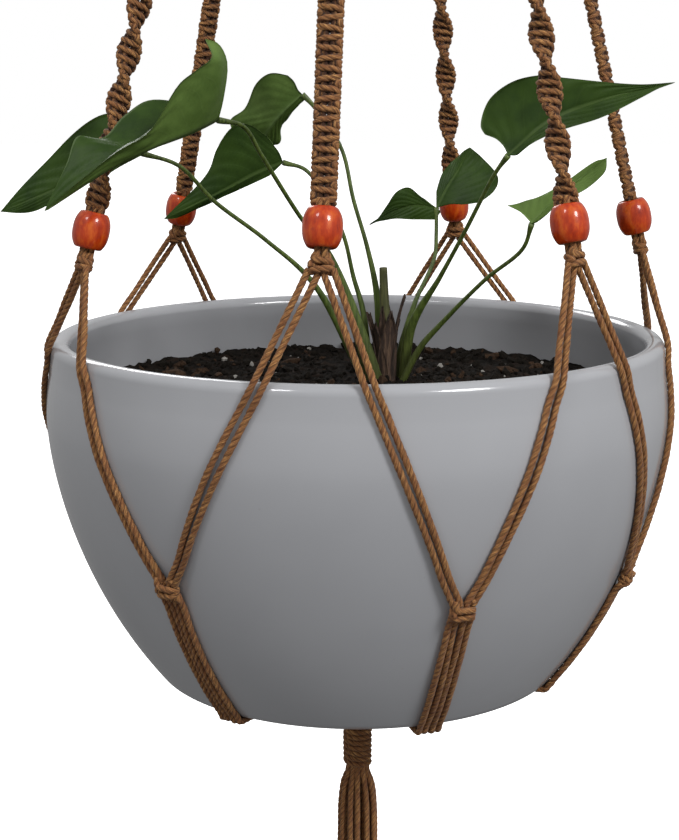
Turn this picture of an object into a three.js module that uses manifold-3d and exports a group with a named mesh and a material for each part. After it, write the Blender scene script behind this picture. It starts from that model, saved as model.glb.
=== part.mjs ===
// A glazed bowl with a potted plant, carried in a six-armed hanger of knotted cord.
// Millimetres, +Z up. The origin is the hook seat, the inside top of the hanging ring.
// Azimuths are degrees round +Z, with 0 at the front (-Y) and +90 at the right (+X).
import * as THREE from "three";
import { RoundedBoxGeometry } from "three/addons/geometries/RoundedBoxGeometry.js";
import { mergeVertices } from "three/addons/utils/BufferGeometryUtils.js";
import Module from "manifold-3d";

const wasm = await Module();
wasm.setup();

// ---------- driving dimensions ----------

const GAP = 0.4; // left between touching pieces
const CORD = 3.0; // cord diameter

// hanging ring, standing in the XZ plane
const RING_BORE_R = 25;
const RING_TUBE_R = 3.5;

// head: cords looped over the ring in two layers, then bound by a wrap
const HEAD_WIDTH = 18;
const LOOP_CLEARANCE = 0.9;
const BUNDLE_R = 7;
const TOP_WRAP_R = 10;
const TOP_WRAP_TOP_Z = -65;
const TOP_WRAP_BOTTOM_Z = -96.4;
const ARM_TOP_Z = -100.3;
const ARM_TOP_R = 5.7;
const ARM_TOP_AZIMUTH = -68; // first arm under the wrap, with the rest 60 degrees apart

// levels: the bowl's rim plane below the hook seat, and where the arms' lines meet above it
const RIM_Z = -655;
const APEX_HEIGHT = 580;
const APEX_X = 6;

// knotted arms: bands of square knots, or of half knots that spiral
const SINNET_TOP_Z = -175;
const SINNET_WIDTH = 11.2;
const SINNET_THICKNESS = 5.4;
const SPIRAL_STEPS = 6;

// beads and the knots that hold them
const BEAD_CIRCLE_R = 132.5;
const BEAD_R = 8.2;
const BEAD_HALF = 8.2;
const BEAD_BORE_R = 3.9;
const NECK_R = 3.4;
const KNOT_TOP = 10.8; // below the bead's centre
const KNOT_HEIGHT = 7.6;
const KNOT_WIDTH = 11;
const KNOT_THICKNESS = 7.6;

// height is the bead's centre above the rim plane, and drop is how far below that plane
// the diamond knot between this arm and the one before it lies. A spiral arm turns once round
// in the length turn, and faces the front at the distance face above its bead.
const ARMS = [
  { name: "front_left", azimuth: -63, height: 54, drop: 75, turn: 43, face: 16 },
  { name: "front", azimuth: -6, height: 61, drop: 93 },
  { name: "front_right", azimuth: 42, height: 60, drop: 97, turn: 46, face: 12 },
  { name: "back_right", azimuth: 88.5, height: 56, drop: 106 },
  { name: "back", azimuth: 156, height: 53, drop: 80, turn: 48, face: 24 },
  { name: "back_left", azimuth: 226, height: 53, drop: 76 },
];

// sling: from each knot two pairs of strands run over the bowl to the diamond knots
const PAIR_WIDTH = 6.2;
const PAIR_OFFSET = 3.4; // a pair's middle off the knot's middle
const PAIR_END = 0.929; // share of the way from rim to diamond knot where a pair ends
const PAIR_INSET = 1.2; // degrees a pair stays short of the diamond knot's middle
const STRAND_CLEARANCE = 0.7; // cord surface to glaze
const RIM_SPREAD = 0.345; // share of the way to the next knot that a pair covers above the rim
const RIM_TOUCH = 18; // degrees above the lip's level where the cord meets the rim
const DIAMOND_WIDTH = 13;
const DIAMOND_HEIGHT = 9;
const DIAMOND_THICKNESS = 6.6;

// bowl, measured from its rim plane
const BELLY_R = 151;
const BELLY_Z = -37;
const BELLY_DEPTH = 187; // half height of the outer curve, if it were not cut off at the foot
const CURVE_DOWN = 1.7; // exponents of the curve: 2 and 2 would make it an ellipse
const CURVE_ROUND = 1.9;
const WALL = 8;
const LIP_CENTRE_R = 143.4;
const LIP_R = 4.6;
const FOOT_Z = -166;
const SOIL_Z = -29;

// under the bowl: six bands of four strands gather in a wrap, and end in a tassel
const BASE_AZIMUTH = -98; // first band at the gather, with the rest 60 degrees apart
const BASE_BAND_WIDTH = 12.2;
const GATHER_Z = -181;
const BASE_WRAP_TOP_Z = -183.6;
const BASE_WRAP_BOTTOM_Z = -229;
const BASE_WRAP_R = 7.6;
const TASSEL_TOP_Z = -231.8;
const TASSEL_R = 11;
const TASSEL_END_Z = -409;

const CROWN = new THREE.Vector2(14, 20); // where the plant stands in the soil

// ---------- materials ----------

const material = (color, roughness, metalness = 0) =>
  new THREE.MeshStandardMaterial({ color, roughness, metalness });

const steel = material(0xb8bbc0, 0.3, 1);
const cord = material(0x9a6a3a, 0.9);
const lacquer = material(0xe2521b, 0.25);
const glaze = material(0xc9ccd2, 0.15);
const earth = material(0x2b211b, 1);
const leafGreen = material(0x3c6a32, 0.45);
const sheathBrown = material(0x6b4a35, 0.85);

// ---------- geometry helpers ----------

const radians = THREE.MathUtils.degToRad;
const vector = (x, y, z) => new THREE.Vector3(x, y, z);

function polar(radius, azimuth, z) {
  const a = radians(azimuth);
  return vector(radius * Math.sin(a), -radius * Math.cos(a), z);
}

function solid(geometry) {
  const bare = geometry.clone();
  bare.deleteAttribute("normal");
  bare.deleteAttribute("uv");
  const merged = mergeVertices(bare, 1e-4);
  const vertProperties = merged.attributes.position.array;
  const triVerts = new Uint32Array(merged.index.array);
  return new wasm.Manifold(new wasm.Mesh({ numProp: 3, vertProperties, triVerts }));
}

function geometryOf(manifold) {
  const mesh = manifold.getMesh();
  const geometry = new THREE.BufferGeometry();
  geometry.setAttribute("position", new THREE.BufferAttribute(mesh.vertProperties, 3));
  geometry.setIndex(new THREE.BufferAttribute(mesh.triVerts, 1));
  return geometry;
}

function join(...geometries) {
  return geometryOf(geometries.map(solid).reduce((whole, next) => whole.add(next)));
}

// A closed skin over rings of points, with a flat fan at each end.
function loft(rings) {
  const sides = rings[0].length;
  const index = [];
  for (let k = 0; k + 1 < rings.length; k++) {
    for (let i = 0; i < sides; i++) {
      const a = k * sides + i;
      const b = k * sides + ((i + 1) % sides);
      index.push(a, b, a + sides, b, b + sides, a + sides);
    }
  }
  const last = (rings.length - 1) * sides;
  for (let i = 1; i + 1 < sides; i++) {
    index.push(0, i + 1, i, last, last + i, last + i + 1);
  }
  return closedGeometry(rings.flat(), index);
}

// Faces are turned outwards when the signed volume is negative.
function closedGeometry(points, index) {
  let volume = 0;
  for (let i = 0; i < index.length; i += 3) {
    const [a, b, c] = [points[index[i]], points[index[i + 1]], points[index[i + 2]]];
    volume += a.dot(b.clone().cross(c));
  }
  if (volume < 0) index.reverse();
  return new THREE.BufferGeometry().setFromPoints(points).setIndex(index);
}

// An eight-sided flat section, centred on a point, with its width along side and its thickness along out.
function section(centre, side, out, width, thickness) {
  const corners = [
    [0.5, -0.21], [0.5, 0.21], [0.3, 0.5], [-0.3, 0.5],
    [-0.5, 0.21], [-0.5, -0.21], [-0.3, -0.5], [0.3, -0.5],
  ];
  return corners.map(([u, v]) =>
    centre.clone().addScaledVector(side, u * width).addScaledVector(out, v * thickness),
  );
}

// A flat band along stations of { at, out, width, thickness }: out is the way its face looks.
function band(stations) {
  const rings = stations.map((station, k) => {
    const before = stations[Math.max(k - 1, 0)].at;
    const after = stations[Math.min(k + 1, stations.length - 1)].at;
    const along = after.clone().sub(before).normalize();
    const side = along.clone().cross(station.out).normalize();
    const out = side.clone().cross(along);
    return section(station.at, side, out, station.width, station.thickness);
  });
  return loft(rings);
}

// A round stem through the points, thinning from one radius to the other.
function stem(points, startR, endR, steps, sides = 6) {
  const curve = new THREE.CatmullRomCurve3(points);
  const frames = curve.computeFrenetFrames(steps);
  const rings = [];
  for (let k = 0; k <= steps; k++) {
    const centre = curve.getPointAt(k / steps);
    const radius = THREE.MathUtils.lerp(startR, endR, k / steps);
    const ring = [];
    for (let i = 0; i < sides; i++) {
      const a = (2 * Math.PI * i) / sides;
      const point = centre.clone();
      point.addScaledVector(frames.normals[k], radius * Math.cos(a));
      point.addScaledVector(frames.binormals[k], radius * Math.sin(a));
      ring.push(point);
    }
    rings.push(ring);
  }
  return loft(rings);
}

// A turned solid about +Z from [radius, z] pairs; a profile off the axis is closed on itself.
function turned(profile, segments) {
  const closed = profile[0][0] > 0 ? [...profile, profile[0]] : profile;
  const points = closed.map(([r, z]) => new THREE.Vector2(r, z));
  return new THREE.LatheGeometry(points, segments).rotateX(Math.PI / 2);
}

function named(name, geometry, finish) {
  const mesh = new THREE.Mesh(geometry, finish);
  mesh.name = name;
  return mesh;
}

// ---------- ring and head ----------

const ringCentreZ = -RING_BORE_R;
const ringR = RING_BORE_R + RING_TUBE_R;
const ringFootZ = ringCentreZ - ringR;

function torus(tubeR, around, about) {
  const geometry = new THREE.TorusGeometry(ringR, tubeR, around, about);
  return geometry.rotateX(Math.PI / 2).translate(0, 0, ringCentreZ);
}

// Cord loops as one saddle over the ring's foot, with the bundle that hangs from it.
function cordLoops() {
  const saddleR = RING_TUBE_R + LOOP_CLEARANCE + 2 * CORD;
  const shape = new THREE.Shape();
  shape.absarc(0, 0, saddleR, 0, Math.PI, false);
  shape.lineTo(-BUNDLE_R - 1, TOP_WRAP_TOP_Z + GAP - ringFootZ);
  shape.lineTo(BUNDLE_R + 1, TOP_WRAP_TOP_Z + GAP - ringFootZ);
  const saddle = new THREE.ExtrudeGeometry(shape, {
    depth: HEAD_WIDTH, bevelEnabled: false, curveSegments: 12,
  });
  saddle.translate(0, 0, -HEAD_WIDTH / 2).rotateX(Math.PI / 2).rotateZ(Math.PI / 2);
  saddle.translate(0, 0, ringFootZ);
  const bore = torus(RING_TUBE_R + LOOP_CLEARANCE, 12, 32);
  const length = TOP_WRAP_TOP_Z - TOP_WRAP_BOTTOM_Z + 2;
  const bundle = new THREE.CylinderGeometry(BUNDLE_R, BUNDLE_R, length, 16);
  bundle.rotateX(Math.PI / 2).translate(0, 0, TOP_WRAP_BOTTOM_Z + length / 2);
  return geometryOf(solid(saddle).add(solid(bundle)).subtract(solid(bore)));
}

function topWrap() {
  const profile = [
    [BUNDLE_R + GAP, TOP_WRAP_BOTTOM_Z], [TOP_WRAP_R - 1, TOP_WRAP_BOTTOM_Z],
    [TOP_WRAP_R, TOP_WRAP_BOTTOM_Z + 1.5], [TOP_WRAP_R, TOP_WRAP_TOP_Z - 1.5],
    [TOP_WRAP_R - 1, TOP_WRAP_TOP_Z], [BUNDLE_R + GAP, TOP_WRAP_TOP_Z],
  ];
  return turned(profile, 20);
}

// ---------- arms ----------

// Each arm's line runs from the apex through its bead: down is along it, and out is away from the axis.
function armLine(arm) {
  const bead = polar(BEAD_CIRCLE_R, arm.azimuth, RIM_Z + arm.height);
  const down = bead.clone().sub(vector(APEX_X, 0, RIM_Z + APEX_HEIGHT)).normalize();
  const side = down.clone().cross(polar(1, arm.azimuth, 0)).normalize();
  const out = side.clone().cross(down);
  return { bead, down, side, out };
}

const below = (line, distance) => line.bead.clone().addScaledVector(line.down, distance);

// Plain strands leave the head's wrap, then a knotted band runs to the bead.
function armBand(arm, index) {
  const line = armLine(arm);
  const last = -BEAD_HALF - GAP;
  const first = (SINNET_TOP_Z - line.bead.z) / line.down.z;
  const count = arm.turn ? Math.ceil(((last - first) / arm.turn) * SPIRAL_STEPS) : 1;
  const front = vector(0, -1, 0).projectOnPlane(line.down).normalize();
  const top = polar(ARM_TOP_R, ARM_TOP_AZIMUTH + 60 * index, ARM_TOP_Z);
  const stations = [
    { at: top, out: line.out, width: 4.8, thickness: 4.8 },
    { at: below(line, first - 8), out: line.out, width: 6.4, thickness: 5.4 },
  ];
  for (let k = 0; k <= count; k++) {
    const distance = THREE.MathUtils.lerp(first, last, k / count);
    const twist = -(2 * Math.PI * (distance + arm.face)) / arm.turn;
    const out = arm.turn ? front.clone().applyAxisAngle(line.down, twist) : line.out;
    const at = below(line, distance);
    stations.push({ at, out, width: SINNET_WIDTH, thickness: SINNET_THICKNESS });
  }
  return band(stations);
}

function alignToArm(mesh, line) {
  const basis = new THREE.Matrix4().makeBasis(line.side, line.out, line.down.clone().negate());
  mesh.quaternion.setFromRotationMatrix(basis);
  mesh.position.copy(line.bead);
  return mesh;
}

function beadGeometry() {
  const profile = [
    [BEAD_BORE_R, -BEAD_HALF], [5.8, -BEAD_HALF], [7.5, -5.4], [BEAD_R, 0],
    [7.5, 5.4], [5.8, BEAD_HALF], [BEAD_BORE_R, BEAD_HALF],
  ];
  return turned(profile, 14);
}

// The four strands pass through the bead as a neck, and a square knot closes below it.
function beadKnotGeometry() {
  const top = BEAD_HALF;
  const length = top + KNOT_TOP + 1;
  const neck = new THREE.CylinderGeometry(NECK_R, NECK_R, length, 8);
  neck.rotateX(Math.PI / 2).translate(0, 0, top - length / 2);
  const knot = new RoundedBoxGeometry(KNOT_WIDTH, KNOT_THICKNESS, KNOT_HEIGHT, 1, 2.4);
  knot.translate(0, 0, -KNOT_TOP - KNOT_HEIGHT / 2);
  return join(neck, knot);
}

// ---------- bowl ----------

// Radius of the bowl's outside, or of its inside at an inset, at a level from the rim plane.
function wallR(z, inset = 0) {
  const share = Math.abs(z - BELLY_Z) / (BELLY_DEPTH - inset);
  return (BELLY_R - inset) * (1 - share ** CURVE_DOWN) ** (1 / CURVE_ROUND);
}

function bowl() {
  const outerLevels = [-163.5, -155, -143, -127, -107, -84, -60, -37, -14];
  const innerLevels = [-14, -40, -75, -108, -134, -150];
  const profile = [[0, FOOT_Z], [wallR(FOOT_Z) - 2.5, FOOT_Z]];
  for (const z of outerLevels) profile.push([wallR(z), z]);
  for (const angle of [0, 45, 90, 135, 180]) {
    const a = radians(angle);
    profile.push([LIP_CENTRE_R + LIP_R * Math.cos(a), -LIP_R + LIP_R * Math.sin(a)]);
  }
  for (const z of innerLevels) profile.push([wallR(z, WALL), z]);
  profile.push([wallR(FOOT_Z + WALL, WALL), FOOT_Z + WALL], [0, FOOT_Z + WALL]);
  return turned(profile, 48);
}

// Potting mix, a little inside the bowl's wall all round.
function soil() {
  const levels = [-150, -130, -100, -66, SOIL_Z];
  const slack = 1.4;
  const floor = FOOT_Z + WALL + GAP;
  const profile = [[0, floor], [wallR(floor, WALL) - 2 * slack, floor]];
  for (const z of levels) profile.push([wallR(z, WALL) - slack, z]);
  profile.push([0, SOIL_Z]);
  return turned(profile, 40);
}

// Unit normal of the bowl's outside at a place on it.
function bowlNormal(azimuth, z) {
  const slope = wallR(z + 0.5) - wallR(z - 0.5);
  return polar(1, azimuth, -slope).normalize();
}

// A place standing off the bowl's outside by a clearance.
function onBowl(azimuth, z, clearance) {
  return polar(wallR(z), azimuth, z).addScaledVector(bowlNormal(azimuth, z), clearance);
}

// ---------- sling ----------

const strandOffset = CORD / 2 + STRAND_CLEARANCE;

// Each diamond knot lies halfway between two arms.
function diamond(index) {
  const left = ARMS[(index + ARMS.length - 1) % ARMS.length];
  const right = ARMS[index];
  const gap = (right.azimuth - left.azimuth + 360) % 360;
  return { azimuth: right.azimuth - gap / 2, halfGap: gap / 2, z: -right.drop };
}

const DIAMONDS = ARMS.map((arm, index) => diamond(index));

// A pair of strands from the knot under a bead, over the rim, to a diamond knot.
function slingPair(arm, knot, hand) {
  const radial = (azimuth) => polar(1, azimuth, 0);
  const start = below(armLine(arm), KNOT_TOP + KNOT_HEIGHT + 2 * GAP);
  start.addScaledVector(radial(arm.azimuth + 90), hand * PAIR_OFFSET);
  start.z -= RIM_Z;
  const rimAzimuth = arm.azimuth + hand * RIM_SPREAD * knot.halfGap;
  const touch = radians(RIM_TOUCH);
  const reach = LIP_R + strandOffset;
  const rim = polar(LIP_CENTRE_R + reach * Math.cos(touch), rimAzimuth, 0);
  rim.z = -LIP_R + reach * Math.sin(touch);
  const stations = [
    { at: start, out: radial(arm.azimuth), width: 5, thickness: CORD },
    { at: rim, out: radial(rimAzimuth), width: PAIR_WIDTH, thickness: CORD },
  ];
  const target = arm.azimuth + hand * (knot.halfGap - PAIR_INSET);
  const steps = 8;
  for (let k = 1; k <= steps; k++) {
    const share = (PAIR_END * k) / steps;
    const z = THREE.MathUtils.lerp(rim.z, knot.z, share);
    const azimuth = THREE.MathUtils.lerp(rimAzimuth, target, share);
    const at = onBowl(azimuth, z, strandOffset);
    stations.push({ at, out: bowlNormal(azimuth, z), width: PAIR_WIDTH, thickness: CORD });
  }
  return band(stations).translate(0, 0, RIM_Z);
}

function diamondKnot(knot) {
  const mesh = new THREE.Mesh(
    new RoundedBoxGeometry(DIAMOND_WIDTH, DIAMOND_THICKNESS, DIAMOND_HEIGHT, 1, 2.2),
    cord,
  );
  const out = bowlNormal(knot.azimuth, knot.z);
  const side = vector(0, 0, -1).cross(out).normalize();
  const basis = new THREE.Matrix4().makeBasis(side, out, side.clone().cross(out));
  mesh.quaternion.setFromRotationMatrix(basis);
  mesh.position.copy(onBowl(knot.azimuth, knot.z, DIAMOND_THICKNESS / 2 + 0.6));
  mesh.position.z += RIM_Z;
  return mesh;
}

// Four strands side by side from a diamond knot, under the foot, and down into the gather.
function baseStrands(knot, index) {
  const target = BASE_AZIMUTH + 60 * index;
  const turn = ((target - knot.azimuth + 540) % 360) - 180;
  const stations = [];
  const lowest = FOOT_Z + 5;
  const steps = 5;
  for (let k = 0; k <= steps; k++) {
    const z = THREE.MathUtils.lerp(knot.z - DIAMOND_HEIGHT / 2 - 0.9, lowest, k / steps);
    const at = onBowl(knot.azimuth, z, strandOffset);
    const out = bowlNormal(knot.azimuth, z);
    stations.push({ at, out, width: BASE_BAND_WIDTH, thickness: CORD });
  }
  const edge = wallR(FOOT_Z);
  const underZ = FOOT_Z - strandOffset;
  // radius, level, tilt of the outward face, width, thickness
  const under = [
    [edge + 1.7, underZ + 0.6, -45, BASE_BAND_WIDTH, CORD],
    [edge - 6, underZ, -90, BASE_BAND_WIDTH, CORD],
    [45, underZ, -90, BASE_BAND_WIDTH, CORD],
    [20, underZ, -90, 9, 3.6],
    [11, underZ - 1.6, -70, 6, 4.4],
    [6.6, underZ - 5, -35, 4.6, 4.6],
    [5.3, GATHER_Z, 0, 4.4, 4.4],
  ];
  for (const [r, z, tilt, width, thickness] of under) {
    const azimuth = knot.azimuth + turn * THREE.MathUtils.smoothstep(edge - r, 0, edge - 12);
    const out = polar(Math.cos(radians(tilt)), azimuth, Math.sin(radians(tilt)));
    stations.push({ at: polar(r, azimuth, z), out, width, thickness });
  }
  return band(stations).translate(0, 0, RIM_Z);
}

function baseWrap() {
  const profile = [
    [0, BASE_WRAP_BOTTOM_Z], [BASE_WRAP_R - 1, BASE_WRAP_BOTTOM_Z],
    [BASE_WRAP_R, BASE_WRAP_BOTTOM_Z + 1.5], [BASE_WRAP_R, BASE_WRAP_TOP_Z - 1.5],
    [BASE_WRAP_R - 1, BASE_WRAP_TOP_Z], [0, BASE_WRAP_TOP_Z],
  ];
  return turned(profile, 16).translate(0, 0, RIM_Z);
}

function tassel() {
  const profile = [
    [0, TASSEL_END_Z], [TASSEL_R, TASSEL_END_Z], [TASSEL_R, -270], [TASSEL_R - 0.6, -256],
    [8.4, -244], [5.8, TASSEL_TOP_Z - 4], [3.5, TASSEL_TOP_Z], [0, TASSEL_TOP_Z],
  ];
  return turned(profile, 16).translate(0, 0, RIM_Z);
}

// ---------- plant, measured from the rim plane ----------

const BLADE = 1.2; // leaf thickness

// Every half of a blade spans the midrib and a margin; its base runs from the stalk to the lobe.
const LEAVES = [
  {
    name: "far_left", root: 200, stalkR: 1.4,
    stalk: [[-21, 6, 22], [-44, -6, 45], [-67, -18, 64], [-82, -30, 81], [-98, -38, 87]],
    blades: [{
      midrib: [[-98, -38, 87], [-129, -34, 74], [-165, -30, 60]],
      halves: [
        { base: [[-97, -34, 95]], margin: [[-100, -32, 103], [-116, -30, 104], [-145, -30, 81]] },
        { base: [[-98, -41, 86]], margin: [[-101, -43, 85], [-119, -40, 75], [-151, -32, 60]] },
      ],
    }],
  },
  {
    name: "near_left", root: 248, stalkR: 2.5,
    stalk: [[-13, 0, 36], [-27, -18, 57], [-43, -44, 86], [-50, -58, 99], [-60, -70, 102]],
    blades: [{
      midrib: [[-60, -70, 102], [-71, -82, 97], [-87, -90, 91], [-103, -94, 83], [-131, -97, 65]],
      halves: [
        {
          base: [[-57, -75, 112], [-55, -80, 126], [-58, -84, 133]],
          margin: [
            [-63, -88, 135], [-60, -92, 128], [-66, -95, 123], [-72, -98, 117],
            [-85, -101, 98], [-98, -102, 91], [-115, -101, 77],
          ],
        },
        {
          base: [[-66, -66, 105]],
          margin: [
            [-75, -64, 109], [-91, -68, 110], [-100, -73, 104], [-108, -79, 94],
            [-118, -85, 96], [-122, -91, 84],
          ],
        },
      ],
    }],
  },
  {
    name: "upper_centre", root: 104, stalkR: 1.5,
    stalk: [[10, 27, 13], [5, 26, 38], [-2, 26, 62], [-8, 28, 87], [-22, 25, 108], [-27, 25, 113]],
    blades: [{
      midrib: [[-27, 25, 113], [-36, 28, 105], [-43, 34, 97], [-48, 43, 87]],
      halves: [
        {
          base: [[-29, 25, 115], [-31, 25, 119]],
          margin: [
            [-34, 25, 122], [-43, 28, 123], [-50, 33, 118], [-57, 42, 106],
            [-64, 48, 100], [-60, 49, 91],
          ],
        },
        { base: [[-26, 25, 111]], margin: [[-28, 28, 109], [-35, 34, 102], [-38, 38, 96], [-40, 42, 89]] },
      ],
    }],
  },
  {
    name: "lower_centre", root: 152, stalkR: 1.2,
    stalk: [[3, 30, 5], [-2, 30, 23], [-8, 27, 47], [-25, 27, 76], [-37, 30, 80]],
    blades: [{
      midrib: [[-37, 30, 80], [-49, 34, 75], [-67, 39, 66], [-99, 45, 51]],
      halves: [
        {
          base: [[-39, 30, 85], [-42, 31, 89]],
          margin: [[-45, 31, 93], [-53, 33, 98], [-61, 36, 98], [-71, 40, 86], [-77, 43, 73]],
        },
        { base: [[-39, 31, 78]], margin: [[-44, 33, 73.4], [-60, 38, 66], [-73, 42, 60.3], [-89, 45, 52.5]] },
      ],
    }],
  },
  {
    name: "right", root: 8, stalkR: 1.7,
    stalk: [[27, 16, 0], [40, 2, 26], [51, -14, 50], [63, -34, 78], [68, -40, 86]],
    blades: [{
      midrib: [[68, -40, 86], [86, -43, 101], [108, -46, 110], [140, -50, 118]],
      halves: [
        {
          base: [[66, -38, 90], [63, -36, 93]],
          margin: [
            [58, -33, 95], [56, -32, 99], [59, -33, 110], [69, -36, 118],
            [80, -40, 121], [92, -43, 120], [125, -48, 117],
          ],
        },
        { base: [[71, -41, 86]], margin: [[73, -42, 87], [84, -45, 95], [107, -48, 102], [126, -50, 112]] },
      ],
    }],
  },
  {
    name: "centre", root: 56, stalkR: 1.7,
    stalk: [[24, 28, -7], [29, 29, 10], [39, 36, 32], [40, 39, 44], [40, 42, 57]],
    blades: [
      {
        midrib: [[40, 42, 57], [29, 43, 58], [18, 45, 55], [6, 46, 48]],
        halves: [
          {
            base: [[37, 42, 59]],
            margin: [[33, 42, 62], [26, 43, 67], [20, 44, 65], [15, 45, 58], [10, 46, 51]],
          },
          { base: [[42, 41, 55]], margin: [[39, 41, 51], [28, 42, 51], [16, 44, 51]] },
        ],
      },
      {
        midrib: [[40, 42, 57], [45, 44, 67], [51, 46, 76], [57, 47, 87]],
        halves: [
          {
            base: [[47, 39, 59], [54, 37, 59]],
            margin: [[62, 36, 60], [68, 36, 65], [71, 38, 71], [68, 42, 77], [63, 45, 82]],
          },
          { base: [[40, 43, 61]], margin: [[40, 44, 65], [43, 46, 74], [47.5, 48, 79], [52, 48, 83.5]] },
        ],
      },
    ],
  },
  {
    name: "small_right", root: 320, stalkR: 1.1,
    stalk: [[31, 10, -10], [41, 4, 3], [61, -14, 27], [77, -28, 43], [80, -35, 55]],
    blades: [{
      midrib: [[80, -35, 55], [95, -36, 70], [113, -38, 85]],
      halves: [
        { base: [[75, -33, 60]], margin: [[69, -30, 63], [81, -32, 66], [108, -37, 83]] },
        { base: [[82, -37, 56]], margin: [[84, -38, 58], [94, -40, 66], [112, -39, 78]] },
      ],
    }],
  },
];

const curveThrough = (points) =>
  new THREE.CatmullRomCurve3(points.map((p) => vector(...p)), false, "centripetal");

// A point of a half blade, blended between its four edges: t runs to the tip, s to the margin.
function halfPoint(midrib, half, s, t) {
  const stalkEnd = midrib.getPoint(0);
  const tip = midrib.getPoint(1);
  const lobe = half.marginCurve.getPoint(0);
  const point = midrib.getPoint(t).multiplyScalar(1 - s);
  point.addScaledVector(half.marginCurve.getPoint(t), s);
  point.addScaledVector(half.baseCurve.getPoint(s), 1 - t);
  point.addScaledVector(stalkEnd, -(1 - s) * (1 - t));
  point.addScaledVector(lobe, -s * (1 - t));
  return point;
}

// A leaf blade as a thin closed sheet over both halves.
function blade({ midrib, halves }) {
  const rib = curveThrough(midrib);
  const edges = halves.map(({ base, margin }) => ({
    marginCurve: curveThrough([...margin, midrib.at(-1)]),
    baseCurve: curveThrough([midrib[0], ...base, margin[0]]),
  }));
  const rows = 8;
  const across = [-1, -0.5, 0, 0.5, 1];
  const grid = [];
  for (let i = 0; i <= rows; i++) {
    const t = (0.95 * i) / rows;
    grid.push(across.map((s) => halfPoint(rib, edges[s < 0 ? 0 : 1], Math.abs(s), t)));
  }
  return sheet(grid);
}

// Thickens a grid of points into a closed sheet.
function sheet(grid) {
  const rows = grid.length;
  const columns = grid[0].length;
  const pick = (i, j) =>
    grid[THREE.MathUtils.clamp(i, 0, rows - 1)][THREE.MathUtils.clamp(j, 0, columns - 1)];
  const faces = [[], []];
  for (let i = 0; i < rows; i++) {
    for (let j = 0; j < columns; j++) {
      const along = pick(i + 1, j).clone().sub(pick(i - 1, j));
      const over = pick(i, j + 1).clone().sub(pick(i, j - 1));
      const normal = along.cross(over).normalize();
      faces[0].push(pick(i, j).clone().addScaledVector(normal, BLADE / 2));
      faces[1].push(pick(i, j).clone().addScaledVector(normal, -BLADE / 2));
    }
  }
  const index = [];
  const quad = (a, b, c, d) => index.push(a, b, c, a, c, d);
  const at = (i, j) => i * columns + j;
  const other = rows * columns;
  for (let i = 0; i + 1 < rows; i++) {
    for (let j = 0; j + 1 < columns; j++) {
      quad(at(i, j), at(i + 1, j), at(i + 1, j + 1), at(i, j + 1));
      quad(other + at(i, j), other + at(i, j + 1), other + at(i + 1, j + 1), other + at(i + 1, j));
    }
    for (const [j, flip] of [[0, false], [columns - 1, true]]) {
      const [near, far] = flip ? [i + 1, i] : [i, i + 1];
      quad(at(near, j), other + at(near, j), other + at(far, j), at(far, j));
    }
  }
  for (let j = 0; j + 1 < columns; j++) {
    quad(at(0, j), at(0, j + 1), other + at(0, j + 1), other + at(0, j));
    quad(at(rows - 1, j + 1), at(rows - 1, j), other + at(rows - 1, j), other + at(rows - 1, j + 1));
  }
  return closedGeometry([...faces[0], ...faces[1]], index);
}

function leaf({ root, stalkR, stalk, blades }) {
  const rootR = 9;
  const a = radians(root);
  const foot = vector(CROWN.x + rootR * Math.cos(a), CROWN.y + rootR * Math.sin(a), SOIL_Z + 1.5);
  const stalkSolid = stem([foot, ...stalk.map((p) => vector(...p))], stalkR, 1.1, 12);
  return join(stalkSolid, ...blades.map(blade));
}

// Papery sheaths round a cut stub, standing on the soil.
function crown() {
  const profile = [
    [0, GAP], [6, GAP], [6.2, 8], [5.4, 20], [4.2, 30], [3, 34], [2.6, 58], [0, 58],
  ];
  return turned(profile, 10);
}

// ---------- assembly ----------

const planter = new THREE.Group();

const head = new THREE.Group();
head.add(named("hanging_ring", torus(RING_TUBE_R, 8, 28), steel));
head.add(named("ring_loops", cordLoops(), cord));
head.add(named("top_wrap", topWrap(), cord));
planter.add(head);

const cradle = new THREE.Group();
ARMS.forEach((arm, index) => {
  const line = armLine(arm);
  const nextKnot = DIAMONDS[(index + 1) % ARMS.length];
  cradle.add(named(`arm_${arm.name}`, armBand(arm, index), cord));
  cradle.add(alignToArm(named(`bead_${arm.name}`, beadGeometry(), lacquer), line));
  cradle.add(alignToArm(named(`bead_knot_${arm.name}`, beadKnotGeometry(), cord), line));
  cradle.add(named(`sling_${arm.name}_left`, slingPair(arm, DIAMONDS[index], -1), cord));
  cradle.add(named(`sling_${arm.name}_right`, slingPair(arm, nextKnot, 1), cord));
});
DIAMONDS.forEach((knot, index) => {
  const place = `${ARMS[(index + ARMS.length - 1) % ARMS.length].name}_${ARMS[index].name}`;
  const mesh = diamondKnot(knot);
  mesh.name = `diamond_${place}`;
  cradle.add(mesh);
  cradle.add(named(`base_strands_${place}`, baseStrands(knot, index), cord));
});
cradle.add(named("base_wrap", baseWrap(), cord));
cradle.add(named("tassel", tassel(), cord));
planter.add(cradle);

const pot = new THREE.Group();
pot.position.z = RIM_Z;
pot.add(named("bowl", bowl(), glaze));
pot.add(named("soil", soil(), earth));
const crownMesh = named("plant_crown", crown(), sheathBrown);
crownMesh.position.set(CROWN.x, CROWN.y, SOIL_Z);
pot.add(crownMesh);
for (const spec of LEAVES) {
  pot.add(named(`leaf_${spec.name}`, leaf(spec), leafGreen));
}
planter.add(pot);

export default planter;
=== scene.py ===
# A glazed bowl with a potted plant, hung in a six-armed hanger of knotted cord.
# Shapes are worked out in millimetres in the row frame, and become metres when a mesh is made.
# Azimuths are degrees round +Z, with 0 at the front (-Y) and +90 at the right (+X).
import math
import random
from collections import namedtuple

import bpy
import numpy as np
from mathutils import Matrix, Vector, noise


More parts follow.
